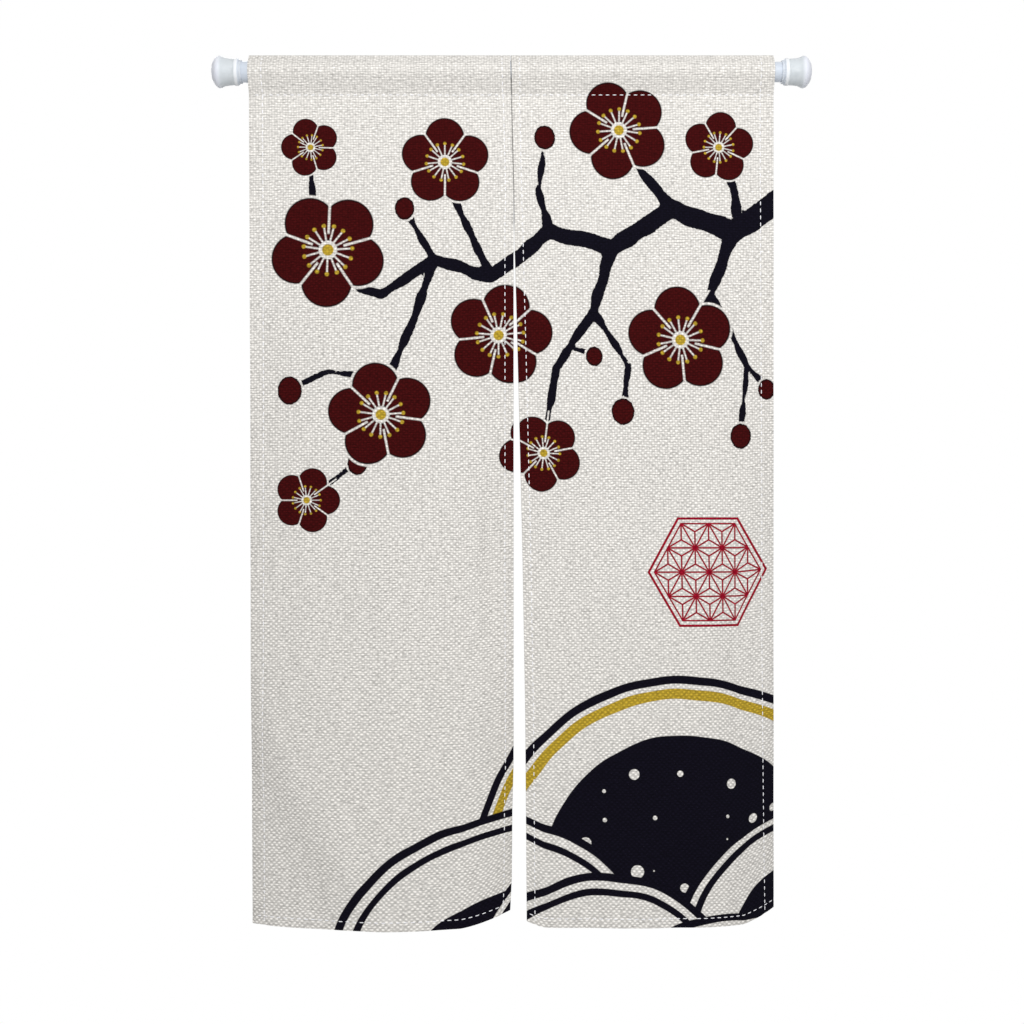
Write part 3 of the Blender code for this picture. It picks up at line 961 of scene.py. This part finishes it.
def linen_material(name, groups, colour, print_strength):
    """Unbleached slub linen with a print of the given strength on it."""
    material, graph, shader = new_material(name, 0.9, Specular_IOR_Level=0.06)
    at = graph.output("UV", "ShaderNodeUVMap", uv_map="Cloth")
    down = graph.split(at)["Y"]
    slack = graph.ramp(down, 0.70, 1.30, 0.0, 1.0)
    lower = graph.ramp(down, 0.12, 0.50, 0.0, 1.0)
    taut = 1.0 - slack
    weave = use_group(graph, groups.weave, {
        "Cloth": at,
        "Floats": slack * 0.46 + lower * 0.12 + 0.08,
        "Cells": taut * (lower * 0.06 + 0.42),
        "Checks": taut * lower * 0.12})
    tinted = print_colour(graph, groups, at, colour, weave, print_strength)
    mottle = graph.noise(at, 7.0, 3.0) * 0.06 - 0.03
    # The cloth's colour is darkened by 74% in the seam's groove and the shut top of the slit: painted
    # shade.
    light = (weave["Shade"] + mottle) * (graph.attribute("seam_groove") * -0.74 + 1.0)
    pucker = graph.attribute("stitch_near") * (graph.noise(at, 170.0, 1.0) - 0.5)
    finish_surface(
        graph, shader, pucker * 1.2 + weave["Height"], 0.35, 0.0006,
        Base_Color=graph.mix(1.0, tinted, graph.join(light, light, light), "MULTIPLY"))
    return material


def thread_material(groups, colour):
    """Matte sewing thread, twisted."""
    material, graph, shader = new_material("Sewing Thread", 0.75, Sheen_Weight=0.3)
    place, marks = handled(graph, groups, 300.0)
    ply = graph.noise(graph.vector("MULTIPLY", place, (1.0, 1.0, 1.6)), 1500.0, 1.0)
    finish_surface(
        graph, shader, ply, 0.4, 0.0002,
        Base_Color=graph.mix(marks["Mottle"], shaded(0.96, colour.thread), colour.thread))
    return material


def enamel_material(groups, colour):
    """White baked enamel on steel tube, with a faint orange peel and sliding scuffs."""
    material, graph, shader = new_material("Rod Enamel", 0.3, Coat_Weight=0.25, Coat_Roughness=0.12)
    place, marks = handled(graph, groups, 45.0)
    tone = graph.mix(marks["Mottle"] * 0.5, colour.enamel, shaded(0.93, colour.enamel))
    finish_surface(
        graph, shader, graph.noise(place, 700.0, 1.0), 0.08, 0.0003,
        Base_Color=graph.mix(marks["Scuff"] * 0.18, tone, (0.42, 0.44, 0.47)),
        Roughness=marks["Scuff"] * 0.25 + marks["Mottle"] * 0.12 + 0.24)
    return material


# Tones along a cap from its wall face: paler at the dome and the bead, greyer on the body, enamel at
# the mouth.
CAP_TONES = (
    (0.00, "cap_rim"), (0.20, "cap_rim"), (0.36, "cap_body"), (0.76, "cap_body"),
    (0.80, "cap_ring"), (0.86, "cap_ring"), (0.90, "enamel"), (1.00, "enamel"))


def plastic_material(groups, colour):
    """Milky moulded plastic, paler at its dome and its bead than on its body, with faint flow marks."""
    material, graph, shader = new_material(
        "Cap Plastic", 0.4, Specular_IOR_Level=0.3, Subsurface_Weight=0.6,
        Subsurface_Scale=0.007, Subsurface_Radius=(1.0, 1.0, 1.0))
    place, marks = handled(graph, groups, 80.0)
    ramp = graph.node("ShaderNodeValToRGB", {"Fac": graph.attribute("from_wall")})
    elements = ramp.color_ramp.elements
    while len(elements) < len(CAP_TONES):
        elements.new(0.5)
    for element, (position, field) in zip(elements, CAP_TONES):
        element.position = position
        element.color = (*getattr(colour, field), 1.0)
    flow = graph.noise(graph.vector("MULTIPLY", place, (3.0, 1.0, 1.0)), 260.0, 2.0)
    tone = graph.wires(ramp)["Color"]
    finish_surface(
        graph, shader, flow, 0.06, 0.0004,
        Base_Color=graph.mix(marks["Mottle"] * 0.12, tone, (1.0, 1.0, 1.0)),
        Roughness=marks["Scuff"] * 0.15 + marks["Mottle"] * 0.15 + 0.32)
    return material


Groups = namedtuple("Groups", "weave blossom hill hemp_leaf wear")
Colours = namedtuple(
    "Colours", "cloth ink red red_edge gold crimson thread enamel cap_rim cap_body cap_ring")


def shared_groups():
    """The node groups, built once."""
    if "Plain Weave" not in bpy.data.node_groups:
        for make in (weave_group, blossom_group, hill_group, hemp_leaf_group, wear_group):
            make()
    named = bpy.data.node_groups
    return Groups(
        named["Plain Weave"], named["Plum Blossom"], named["Wave Hill"], named["Hemp Leaf"],
        named["Handling Marks"])


def settings_colours(looks):
    """The colours of the property group as linear triples."""
    return Colours(*(tuple(getattr(looks, field)) for field in Colours._fields))


# Cloth panels

TURN_POINTS = 7
CORNER_POINTS = 13
CREASE_POINTS = 9
CREASE_REACH = 0.004
POCKET_PITCH = 0.003
POCKET_REACH = 0.010
STITCH_POINTS = 5
STITCH_REACH = 0.003
BESIDE_SEAM = np.array([0.0011, 0.0016, 0.0022, 0.0028, 0.0034, 0.0042])


def spaced(start, end, pitch):
    """Evenly spaced values from start to just before end."""
    count = max(1, round((end - start) / pitch))
    return np.linspace(start, end, count, endpoint=False)


def fine_line(places, near, reach, count):
    """Adds closely spaced places about one line, in place of the wide ones there."""
    kept = places[np.abs(places - near) > reach * 1.2]
    return np.sort(np.concatenate([kept, np.linspace(near - reach, near + reach, count)]))


def cloth_grid(panel, pitch):
    """Places across and along the flat cloth, closer at the turns and beside the stitching."""
    width = panel.right - panel.left
    half = TURN_LENGTH / 2
    left_raw = -panel.left_hem - HEM_BEYOND_STITCH
    right_raw = width + panel.right_hem + HEM_BEYOND_STITCH
    across = np.concatenate([
        spaced(left_raw, -half, pitch), np.linspace(-half, half, TURN_POINTS),
        spaced(half, width - half, pitch)[1:],
        np.linspace(width - half, width + half, TURN_POINTS),
        spaced(width + half, right_raw, pitch)[1:], [right_raw]])
    for line in (panel.left_hem, width - panel.right_hem):
        across = fine_line(across, line, STITCH_REACH, STITCH_POINTS)
    seam_edge = SEAM_ACROSS - panel.print_start
    across = np.sort(np.concatenate([across, seam_edge - BESIDE_SEAM, seam_edge + BESIDE_SEAM]))
    corner_half = math.pi / 2 * CORNER_TURN_RADIUS
    hem_raw = HEM_ALONG + BOTTOM_STITCH + HEM_BEYOND_STITCH
    pocket_end = STITCH_ALONG + POCKET_REACH
    along = np.concatenate([
        spaced(FLAP_END_ALONG, -CREASE_REACH, POCKET_PITCH),
        np.linspace(-CREASE_REACH, CREASE_REACH, CREASE_POINTS),
        spaced(CREASE_REACH, pocket_end, POCKET_PITCH)[1:],
        spaced(pocket_end, HEM_ALONG - corner_half, pitch),
        np.linspace(HEM_ALONG - corner_half, HEM_ALONG + corner_half, CORNER_POINTS),
        spaced(HEM_ALONG + corner_half, hem_raw, pitch)[1:], [hem_raw]])
    return across, fine_line(along, HEM_ALONG - BOTTOM_STITCH, STITCH_REACH, STITCH_POINTS)


def closed_sheet(middle):
    """Both faces and the rim of a sheet, from the grid of its middle: points and quads."""
    lines, columns = middle.shape[:2]
    down = np.gradient(middle, axis=0)
    right = np.gradient(middle, axis=1)
    back = np.cross(right, down)
    back /= np.linalg.norm(back, axis=2, keepdims=True)
    front_points = (middle - back * CLOTH_THICKNESS / 2).reshape(-1, 3)
    back_points = (middle + back * CLOTH_THICKNESS / 2).reshape(-1, 3)
    index = np.arange(lines * columns).reshape(lines, columns)
    front = np.stack(
        [index[:-1, :-1], index[1:, :-1], index[1:, 1:], index[:-1, 1:]], axis=2).reshape(-1, 4)
    behind = front[:, ::-1] + lines * columns
    loop = np.concatenate([index[0, :-1], index[:-1, -1], index[-1, :0:-1], index[:0:-1, 0]])
    after = np.roll(loop, -1)
    rim = np.stack([loop, after, after + lines * columns, loop + lines * columns], axis=1)
    points = np.concatenate([front_points, back_points])
    return points, [*front.tolist(), *behind.tolist(), *rim.tolist()]


BAKE_MARGIN = 0.005
BAKE_LENGTH = 0.99
BAKE_FACE_WIDTH = 0.475
BAKE_BACK_SHIFT = 0.49
BAKE_RIM_AT = 0.975
BAKE_RIM_SHIFT = 0.02


def bake_places(share_across, share_along, loops, rim_faces):
    """Texture places for a later bake: the two faces side by side, the rim in a strip."""
    total = len(share_across)
    places = np.zeros((len(loops), 2))
    vertex = loops % total
    behind = loops >= total
    on_rim = np.arange(len(loops)) >= len(loops) - 4 * rim_faces
    places[:, 0] = BAKE_MARGIN + BAKE_FACE_WIDTH * share_across[vertex] + BAKE_BACK_SHIFT * behind
    places[:, 1] = BAKE_MARGIN + BAKE_LENGTH * share_along[vertex]
    places[on_rim, 0] = BAKE_RIM_AT + BAKE_RIM_SHIFT * behind[on_rim]
    rim_run = (share_across[vertex] + share_along[vertex]) / 2
    places[on_rim, 1] = (BAKE_MARGIN + BAKE_LENGTH * rim_run)[on_rim]
    return places


def build_panel(panel, pitch, materials):
    """One cloth panel with its pocket, turned hems, print places and texture maps."""
    across, along = cloth_grid(panel, pitch)
    flat_across, flat_along = (grid.ravel() for grid in np.meshgrid(across, along))
    middle = place_cloth(panel, flat_across, flat_along)
    points, faces = closed_sheet(middle.reshape(len(along), len(across), 3))
    obj = object_from(panel.name, points, faces, materials)
    mesh = obj.data
    one_face = (len(across) - 1) * (len(along) - 1)
    slots = np.zeros(len(faces), dtype=np.int32)
    slots[one_face:] = 1
    mesh.polygons.foreach_set("material_index", slots)
    mesh.polygons.foreach_set("use_smooth", np.ones(len(faces), dtype=bool))

    loops = np.empty(len(mesh.loops), dtype=np.int32)
    mesh.loops.foreach_get("vertex_index", loops)
    total = len(flat_across)
    printed = np.stack([flat_across + panel.print_start, flat_along], axis=1)
    cloth_map = mesh.uv_layers.new(name="Cloth")
    cloth_map.uv.foreach_set("vector", printed[loops % total].astype(np.float32).ravel())
    share_across = (flat_across - across[0]) / (across[-1] - across[0])
    share_along = 1.0 - (flat_along - along[0]) / (along[-1] - along[0])
    bake_map = mesh.uv_layers.new(name="OFBake")
    places = bake_places(share_across, share_along, loops, len(faces) - 2 * one_face)
    bake_map.uv.foreach_set("vector", places.astype(np.float32).ravel())

    folded_across = side_turn(flat_across, panel.right - panel.left)[0]
    drop = np.interp(flat_along, PATH_ALONG, PATH_DROP)
    drop += np.maximum(flat_along - PATH_ALONG[-1], 0.0)
    shapes = {
        "branch_distance": branch_distance(*printed.T),
        "bud_distance": bud_distance(*printed.T),
        "stitch_near": stitch_nearness(panel, folded_across, flat_along),
        "seam_groove": seam_groove(panel, folded_across, drop),
    }
    for name, values in shapes.items():
        layer = mesh.attributes.new(name, "FLOAT", "POINT")
        layer.data.foreach_set("value", np.tile(values, 2).astype(np.float32))
    local = mesh.attributes.new("blossom_local", "FLOAT_VECTOR", "POINT")
    local.data.foreach_set(
        "vector", np.tile(blossom_local(*printed.T), (2, 1)).astype(np.float32).ravel())
    dress(obj, "linen", panel.node)
    return obj, (across[-1] - across[0], along[-1] - along[0])


# Stitching

STITCH_CUTS = (-0.32, 0.0, 0.32)
STITCH_TAPER = 0.45
STITCH_FLATNESS = 0.75
STITCH_RAISED = 0.16
STITCH_BENT_DOWN = 0.75
FRONT_STITCHES_FROM = 0.004
BACK_STITCHES_BELOW_SEAM = 0.012
STITCHES_END_SHORT = 0.002


def model_stitch(sides, length, width):
    """One stitch of thread: a six-sided rod, tapered and bent down at both ends."""
    deselect_all()
    bpy.ops.mesh.primitive_cylinder_add(
        vertices=sides, radius=width / 2, depth=length, end_fill_type="NGON",
        rotation=(0.0, math.pi / 2, 0.0))
    stitch = bpy.context.object
    bpy.ops.object.transform_apply(location=False, rotation=True, scale=False)
    for share in STITCH_CUTS:
        bpy.ops.object.mode_set(mode="EDIT")
        bpy.ops.mesh.select_all(action="SELECT")
        bpy.ops.mesh.bisect(plane_co=(share * length, 0.0, 0.0), plane_no=(1.0, 0.0, 0.0))
        bpy.ops.object.mode_set(mode="OBJECT")
    for vert in stitch.data.vertices:
        run = abs(vert.co.x) / (length / 2)
        taper = 1.0 - STITCH_TAPER * run ** 3
        vert.co.y *= taper
        vert.co.z *= STITCH_FLATNESS * taper
        vert.co.z += width * (STITCH_RAISED - STITCH_BENT_DOWN * run ** 3)
    return stitch


def stitch_line(start, end, pitch):
    """Middles of the stitches along a line."""
    count = max(1, int(abs(end - start) / pitch))
    inset = (abs(end - start) - count * pitch) / 2
    return min(start, end) + inset + (np.arange(count) + 0.5) * pitch


def stitch_runs(panel, pitch, front):
    """Middles and ends of the stitches on one face: across and along at both ends."""
    width = panel.right - panel.left
    top = FRONT_STITCHES_FROM if front else STITCH_ALONG + BACK_STITCHES_BELOW_SEAM
    downs = stitch_line(top, HEM_ALONG - STITCHES_END_SHORT, pitch)
    rights = stitch_line(STITCHES_END_SHORT, width - STITCHES_END_SHORT, pitch)
    runs = []
    for line in (panel.left_hem, width - panel.right_hem):
        runs += [(line, middle, 0.0, 1.0) for middle in downs]
    seam_height = STITCH_ALONG if front else -STITCH_ALONG
    for level in (HEM_ALONG - BOTTOM_STITCH, seam_height):
        runs += [(middle, level, 1.0, 0.0) for middle in rights]
    return np.array(runs)


def back_layers(panel, across, along):
    """How many layers of cloth lie behind the front one."""
    covered = hem_cover(panel, across, 0.001) > 0.5
    in_bottom = along > HEM_ALONG - BOTTOM_STITCH - HEM_BEYOND_STITCH
    doubled = in_bottom.astype(float)
    return np.where(covered, 1.0 + 2.0 * doubled, doubled)


def sew_panel(panel, template, pitch, material):
    """All stitches of a panel as one mesh, laid on its front and back faces."""
    shape = np.array([vert.co for vert in template.data.vertices])
    pattern = [list(face.vertices) for face in template.data.polygons]
    points, faces = [], []
    for front in (True, False):
        runs = stitch_runs(panel, pitch, front)
        across = runs[:, :1] + shape[None, :, 0] * runs[:, 2:3]
        along = runs[:, 1:2] + shape[None, :, 0] * runs[:, 3:4]
        across = across - shape[None, :, 1] * runs[:, 3:4]
        along = along + shape[None, :, 1] * runs[:, 2:3]
        height = np.broadcast_to(shape[None, :, 2], across.shape)
        rise = CLOTH_THICKNESS / 2 + height
        on_flap = along < 0.0
        if not front:
            layers = back_layers(panel, across, along)
            rise = np.where(on_flap, rise, -rise - LAYER_PITCH * layers)
        placed = place_cloth(panel, across.ravel(), along.ravel(), rise.ravel())
        first = sum(len(group) for group in points)
        points.append(placed)
        for number in range(len(runs)):
            start = first + number * len(shape)
            order = 1 if front or on_flap[number, 0] else -1
            faces += [[start + corner for corner in face][::order] for face in pattern]
    sewn = object_from("stitching_" + panel.node, np.concatenate(points), faces, [material])
    for face in sewn.data.polygons:
        face.use_smooth = True
    dress(sewn, "linen")
    return sewn


# Rod

ROUND_SIDES = 96
MOUTH_ROUNDING = 0.3


def model_tube(name, box, wall, material, node):
    """A thin tube with softly rounded mouths."""
    deselect_all()
    bpy.ops.mesh.primitive_cylinder_add(
        vertices=ROUND_SIDES, radius=box[1].z, depth=box[1].x - box[0].x, end_fill_type="NOTHING",
        location=((box[0].x + box[1].x) / 2, 0.0, 0.0), rotation=(0.0, math.pi / 2, 0.0))
    tube = bpy.context.object
    tube.name = tube.data.name = name
    bpy.ops.object.transform_apply(location=True, rotation=True, scale=True)
    solidify = tube.modifiers.new("Wall", "SOLIDIFY")
    solidify.thickness = wall
    solidify.offset = -1.0
    bevel = tube.modifiers.new("Mouth", "BEVEL")
    bevel.width = wall * MOUTH_ROUNDING
    bevel.segments = 2
    bevel.limit_method = "ANGLE"
    for modifier in ("Wall", "Mouth"):
        bpy.ops.object.modifier_apply(modifier=modifier)
    bpy.ops.object.shade_smooth_by_angle(angle=math.radians(40.0))
    tube.data.materials.append(material)
    dress(tube, "rod_enamel", node)
    return tube


CapPoint = namedtuple("CapPoint", "from_wall radius")
CAP_OUTLINE = rows(
    CapPoint,
    (0.0000, 0.0110), (0.0008, 0.0142), (0.0022, 0.0170),
    (0.0036, 0.0193), (0.0050, 0.0212), (0.0067, 0.0231),
    (0.0085, 0.0246), (0.0103, 0.0255), (0.0122, 0.0259),
    (0.0138, 0.0257), (0.0154, 0.0251), (0.0173, 0.0241),
    (0.0192, 0.0232), (0.0214, 0.0225), (0.0240, 0.0220),
    (0.0290, 0.0215), (0.0354, 0.0211), (0.0363, 0.0213),
    (0.0370, 0.0217), (0.0384, 0.0220), (0.0402, 0.0221),
    (0.0418, 0.0219), (0.0430, 0.0214), (0.0440, 0.0202),
    (0.0446, 0.0194), (0.0460, 0.0190), (0.0481, 0.0189),
    (0.0485, 0.0186),
)
CAP_SOCKET_FLOOR = 0.010
CAP_SOCKET_ROOM = 0.0003
CAP_SOCKET_BEVEL = 0.0004


def model_cap(name, wall_at, inward, tube_radius, material, node):
    """A bell-shaped end cap grown ring by ring from its wall face, with a blind socket."""
    deselect_all()
    bpy.ops.mesh.primitive_circle_add(
        vertices=ROUND_SIDES, radius=CAP_OUTLINE[0].radius, fill_type="NGON", location=(wall_at, 0, 0),
        rotation=(0.0, math.pi / 2, 0.0))
    cap = bpy.context.object
    cap.name = cap.data.name = name
    bpy.ops.object.transform_apply(location=True, rotation=True, scale=True)
    bpy.ops.object.mode_set(mode="EDIT")
    bpy.ops.mesh.select_all(action="SELECT")
    socket_radius = tube_radius + CAP_SOCKET_ROOM
    socket = (
        CapPoint(CAP_LENGTH, socket_radius + CAP_SOCKET_BEVEL),
        CapPoint(CAP_LENGTH - CAP_SOCKET_BEVEL, socket_radius),
        CapPoint(CAP_SOCKET_FLOOR, socket_radius))
    rings = CAP_OUTLINE + socket
    for before, ring in zip(rings, rings[1:]):
        step = (ring.from_wall - before.from_wall) * inward
        bpy.ops.mesh.extrude_region_move(TRANSFORM_OT_translate={"value": (step, 0.0, 0.0)})
        share = ring.radius / before.radius
        bpy.ops.transform.resize(value=(1.0, share, share), center_override=(wall_at, 0.0, 0.0))
    bpy.ops.mesh.select_all(action="SELECT")
    bpy.ops.mesh.normals_make_consistent(inside=False)
    bpy.ops.object.mode_set(mode="OBJECT")
    bpy.ops.object.shade_smooth_by_angle(angle=math.radians(42.0))
    from_wall = cap.data.attributes.new("from_wall", "FLOAT", "POINT")
    for vert in cap.data.vertices:
        from_wall.data[vert.index].value = abs(vert.co.x - wall_at) / CAP_LENGTH
    cap.data.materials.append(material)
    dress(cap, "cap_plastic", node)
    return cap


# Settings

class NorenSizes(bpy.types.PropertyGroup):
    """Sizes of the cloth's mesh, stitching and rod that a user may change."""
    cloth_pitch: FloatProperty(
        name="Cloth Mesh", description="Spacing of the cloth's mesh", default=0.0048,
        min=0.0047, unit="LENGTH")
    stitch_pitch: FloatProperty(
        name="Stitch Pitch", description="From one stitch to the next", default=0.0115,
        unit="LENGTH")
    stitch_length: FloatProperty(
        name="Stitch Length", description="Length of the thread that shows", default=0.0082,
        unit="LENGTH")
    stitch_width: FloatProperty(
        name="Stitch Width", description="Width of the sewing thread", default=0.0016,
        unit="LENGTH")
    stitch_sides: IntProperty(name="Thread Sides", description="Sides of each stitch", default=6, min=4)
    tube_wall: FloatProperty(
        name="Tube Wall", description="Thickness of the steel tubes", default=0.0005,
        unit="LENGTH")


def colour_property(name, description, screen):
    return FloatVectorProperty(
        name=name, description=description, subtype="COLOR", size=3, min=0.0, max=1.0,
        default=linear(screen))


class NorenLooks(bpy.types.PropertyGroup):
    """Colours of the cloth, its print and the rod."""
    cloth: colour_property("Cloth", "Unbleached linen, on average", (212, 209, 204))
    ink: colour_property("Ink", "Navy black of branch and waves", (12, 10, 21))
    red: colour_property("Petal Red", "Dark red of the petals", (58, 8, 9))
    red_edge: colour_property("Petal Edge", "Nearly black edge of the petals", (22, 6, 9))
    gold: colour_property("Gold", "Gold of stamens and band", (172, 145, 46))
    crimson: colour_property("Crimson", "Thin lines of the hemp leaf", (140, 12, 34))
    thread: colour_property("Thread", "Sewing thread", (246, 246, 250))
    enamel: colour_property("Enamel", "White enamel of the tubes", (203, 211, 222))
    # Cap Rim is the paler tone of a cap's dome, by its wall face.
    cap_rim: colour_property("Cap Rim", "Milky plastic where a cap is thin", (221, 224, 233))
    cap_body: colour_property("Cap Body", "Milky plastic of a cap's body", (201, 207, 211))
    cap_ring: colour_property("Cap Ring", "White bead round a cap's mouth", (229, 232, 236))


class NorenStage(bpy.types.PropertyGroup):
    """Camera, floor and lights."""
    camera_distance: FloatProperty(
        name="Camera Distance", description="From the rod's plane", default=2.62, unit="LENGTH")
    camera_across: FloatProperty(
        name="Camera Across", description="Along the rod", default=0.4907, unit="LENGTH")
    camera_height: FloatProperty(
        name="Camera Height", description="From the rod's axis", default=-0.7207, unit="LENGTH")
    lens: FloatProperty(name="Lens", description="Focal length", default=56.23, unit="CAMERA")
    floor_height: FloatProperty(
        name="Floor Height", description="From the rod's axis", default=-1.86, unit="LENGTH")
    sky: FloatProperty(
        name="Sky Light", description="Strength of the even light all round", default=0.405)
    key_power: FloatProperty(
        name="Key Light", description="Power of the big soft light", default=55.0, unit="POWER")


# Operators

class NOREN_OT_rod_tubes(bpy.types.Operator):
    """Model the two telescoping tubes"""
    bl_idname = "noren.rod_tubes"
    bl_label = "Rod Tubes"

    def execute(self, context):
        material = enamel_material(shared_groups(), settings_colours(context.scene.noren_looks))
        wall = context.scene.noren_sizes.tube_wall
        model_tube("rod_tube_outer", OUTER_TUBE, wall, material, "rod_outer_tube")
        model_tube("rod_tube_inner", INNER_TUBE, wall, material, "rod_inner_tube")
        return {"FINISHED"}


class NOREN_OT_end_caps(bpy.types.Operator):
    """Model the two end caps"""
    bl_idname = "noren.end_caps"
    bl_label = "End Caps"

    def execute(self, context):
        material = plastic_material(shared_groups(), settings_colours(context.scene.noren_looks))
        model_cap("end_cap_left", ROD_START, 1.0, OUTER_TUBE_RADIUS, material, "cap_left")
        model_cap("end_cap_right", ROD_END, -1.0, INNER_TUBE_RADIUS, material, "cap_right")
        return {"FINISHED"}


class NOREN_OT_cloth_panels(bpy.types.Operator):
    """Hang the two printed panels and sew them"""
    bl_idname = "noren.cloth_panels"
    bl_label = "Cloth Panels"

    def execute(self, context):
        groups = shared_groups()
        colours = settings_colours(context.scene.noren_looks)
        sizes = context.scene.noren_sizes
        printed = linen_material("Printed Linen", groups, colours, 1.0)
        behind = linen_material("Linen Back", groups, colours, 0.13)
        thread = thread_material(groups, colours)
        template = model_stitch(sizes.stitch_sides, sizes.stitch_length, sizes.stitch_width)
        for panel in PANELS:
            cloth, flat = build_panel(panel, sizes.cloth_pitch, (printed, behind))
            stitches = sew_panel(panel, template, sizes.stitch_pitch, thread)
        bpy.data.objects.remove(template, do_unlink=True)
        return {"FINISHED"}


class NOREN_OT_stage(bpy.types.Operator):
    """Set up the floor, the lights and the camera"""
    bl_idname = "noren.stage"
    bl_label = "Stage"

    def execute(self, context):
        stage = context.scene.noren_stage
        middle = Vector(((ROD_START + ROD_END) / 2, 0.0, -CLOTH_DROP / 2))
        build_floor(stage, middle)
        light_scene(context.scene, stage, middle)
        camera = bpy.data.cameras.new("Camera")
        camera.lens = stage.lens
        eye = bpy.data.objects.new("Camera", camera)
        eye.location = (stage.camera_across, -stage.camera_distance, stage.camera_height)
        eye.rotation_euler = (math.pi / 2, 0.0, 0.0)
        context.scene.collection.objects.link(eye)
        context.scene.camera = eye
        context.scene.view_settings.view_transform = "Standard"
        return {"FINISHED"}


def build_floor(stage, middle):
    """A plain pale floor, ending behind the curtain where the camera no longer sees it."""
    deselect_all()
    bpy.ops.mesh.primitive_plane_add(size=1.0, location=(middle.x, -0.9, stage.floor_height))
    floor = bpy.context.object
    floor.name = "stage_floor"
    floor.scale = (4.2, 3.2, 1.0)
    material, graph, shader = new_material("Stage Floor", 0.8)
    mottle = graph.noise(graph.output("Object", "ShaderNodeTexCoord"), 3.0, 2.0)
    graph.put(shader.inputs["Base Color"], graph.mix(
        mottle, (0.86, 0.86, 0.86), (0.90, 0.90, 0.90)))
    floor.data.materials.append(material)


def light_scene(scene, stage, middle):
    """An even pale sky with one big soft light above the viewer and a weak one behind."""
    world = bpy.data.worlds.new("Studio")
    world.use_nodes = True
    scene.world = world
    graph = Graph(world.node_tree)
    background = world.node_tree.nodes["Background"]
    ray = graph.wires(graph.node("ShaderNodeLightPath"))
    shown = graph.most(ray["Is Camera Ray"], ray["Is Glossy Ray"] * 0.8)
    graph.put(background.inputs["Strength"], shown * (1.0 - stage.sky) + stage.sky)
    background.inputs["Color"].default_value = (1.0, 1.0, 1.0, 1.0)
    for name, place, aim, size, power in (
            ("Key", (0.24, -2.1, 0.50), (0.0, 0.0, 0.25), 2.4, stage.key_power),
            ("Back", (-0.9, 2.6, 0.9), (0.0, 0.0, 0.0), 1.8, stage.key_power * 0.4)):
        lamp = bpy.data.lights.new(name, "AREA")
        lamp.size = size
        lamp.energy = power
        light = bpy.data.objects.new(name, lamp)
        light.location = middle + Vector(place) + Vector((0.0, 0.0, CLOTH_DROP / 2))
        towards = middle + Vector(aim) - light.location
        light.rotation_euler = towards.to_track_quat("-Z", "Y").to_euler()
        scene.collection.objects.link(light)


class NOREN_PT_curtain(bpy.types.Panel):
    """Noren curtain tools"""
    bl_label = "Noren Curtain"
    bl_space_type = "VIEW_3D"
    bl_region_type = "UI"
    bl_category = "Noren"

    def draw(self, context):
        layout = self.layout
        for group in (context.scene.noren_sizes, context.scene.noren_looks,
                      context.scene.noren_stage):
            box = layout.box()
            for name in group.__annotations__:
                box.prop(group, name)
        for operator in OPERATORS:
            layout.operator(operator.bl_idname)


OPERATORS = (NOREN_OT_rod_tubes, NOREN_OT_end_caps, NOREN_OT_cloth_panels, NOREN_OT_stage)
CLASSES = (NorenSizes, NorenLooks, NorenStage, *OPERATORS, NOREN_PT_curtain)


def register():
    for cls in CLASSES:
        bpy.utils.register_class(cls)
    bpy.types.Scene.noren_sizes = PointerProperty(type=NorenSizes)
    bpy.types.Scene.noren_looks = PointerProperty(type=NorenLooks)
    bpy.types.Scene.noren_stage = PointerProperty(type=NorenStage)


def unregister():
    del bpy.types.Scene.noren_stage
    del bpy.types.Scene.noren_looks
    del bpy.types.Scene.noren_sizes
    for cls in reversed(CLASSES):
        bpy.utils.unregister_class(cls)


def main():
    register()
    bpy.ops.noren.rod_tubes()
    bpy.ops.noren.end_caps()
    bpy.ops.noren.cloth_panels()
    bpy.ops.noren.stage()


if __name__ == "__main__":
    main()
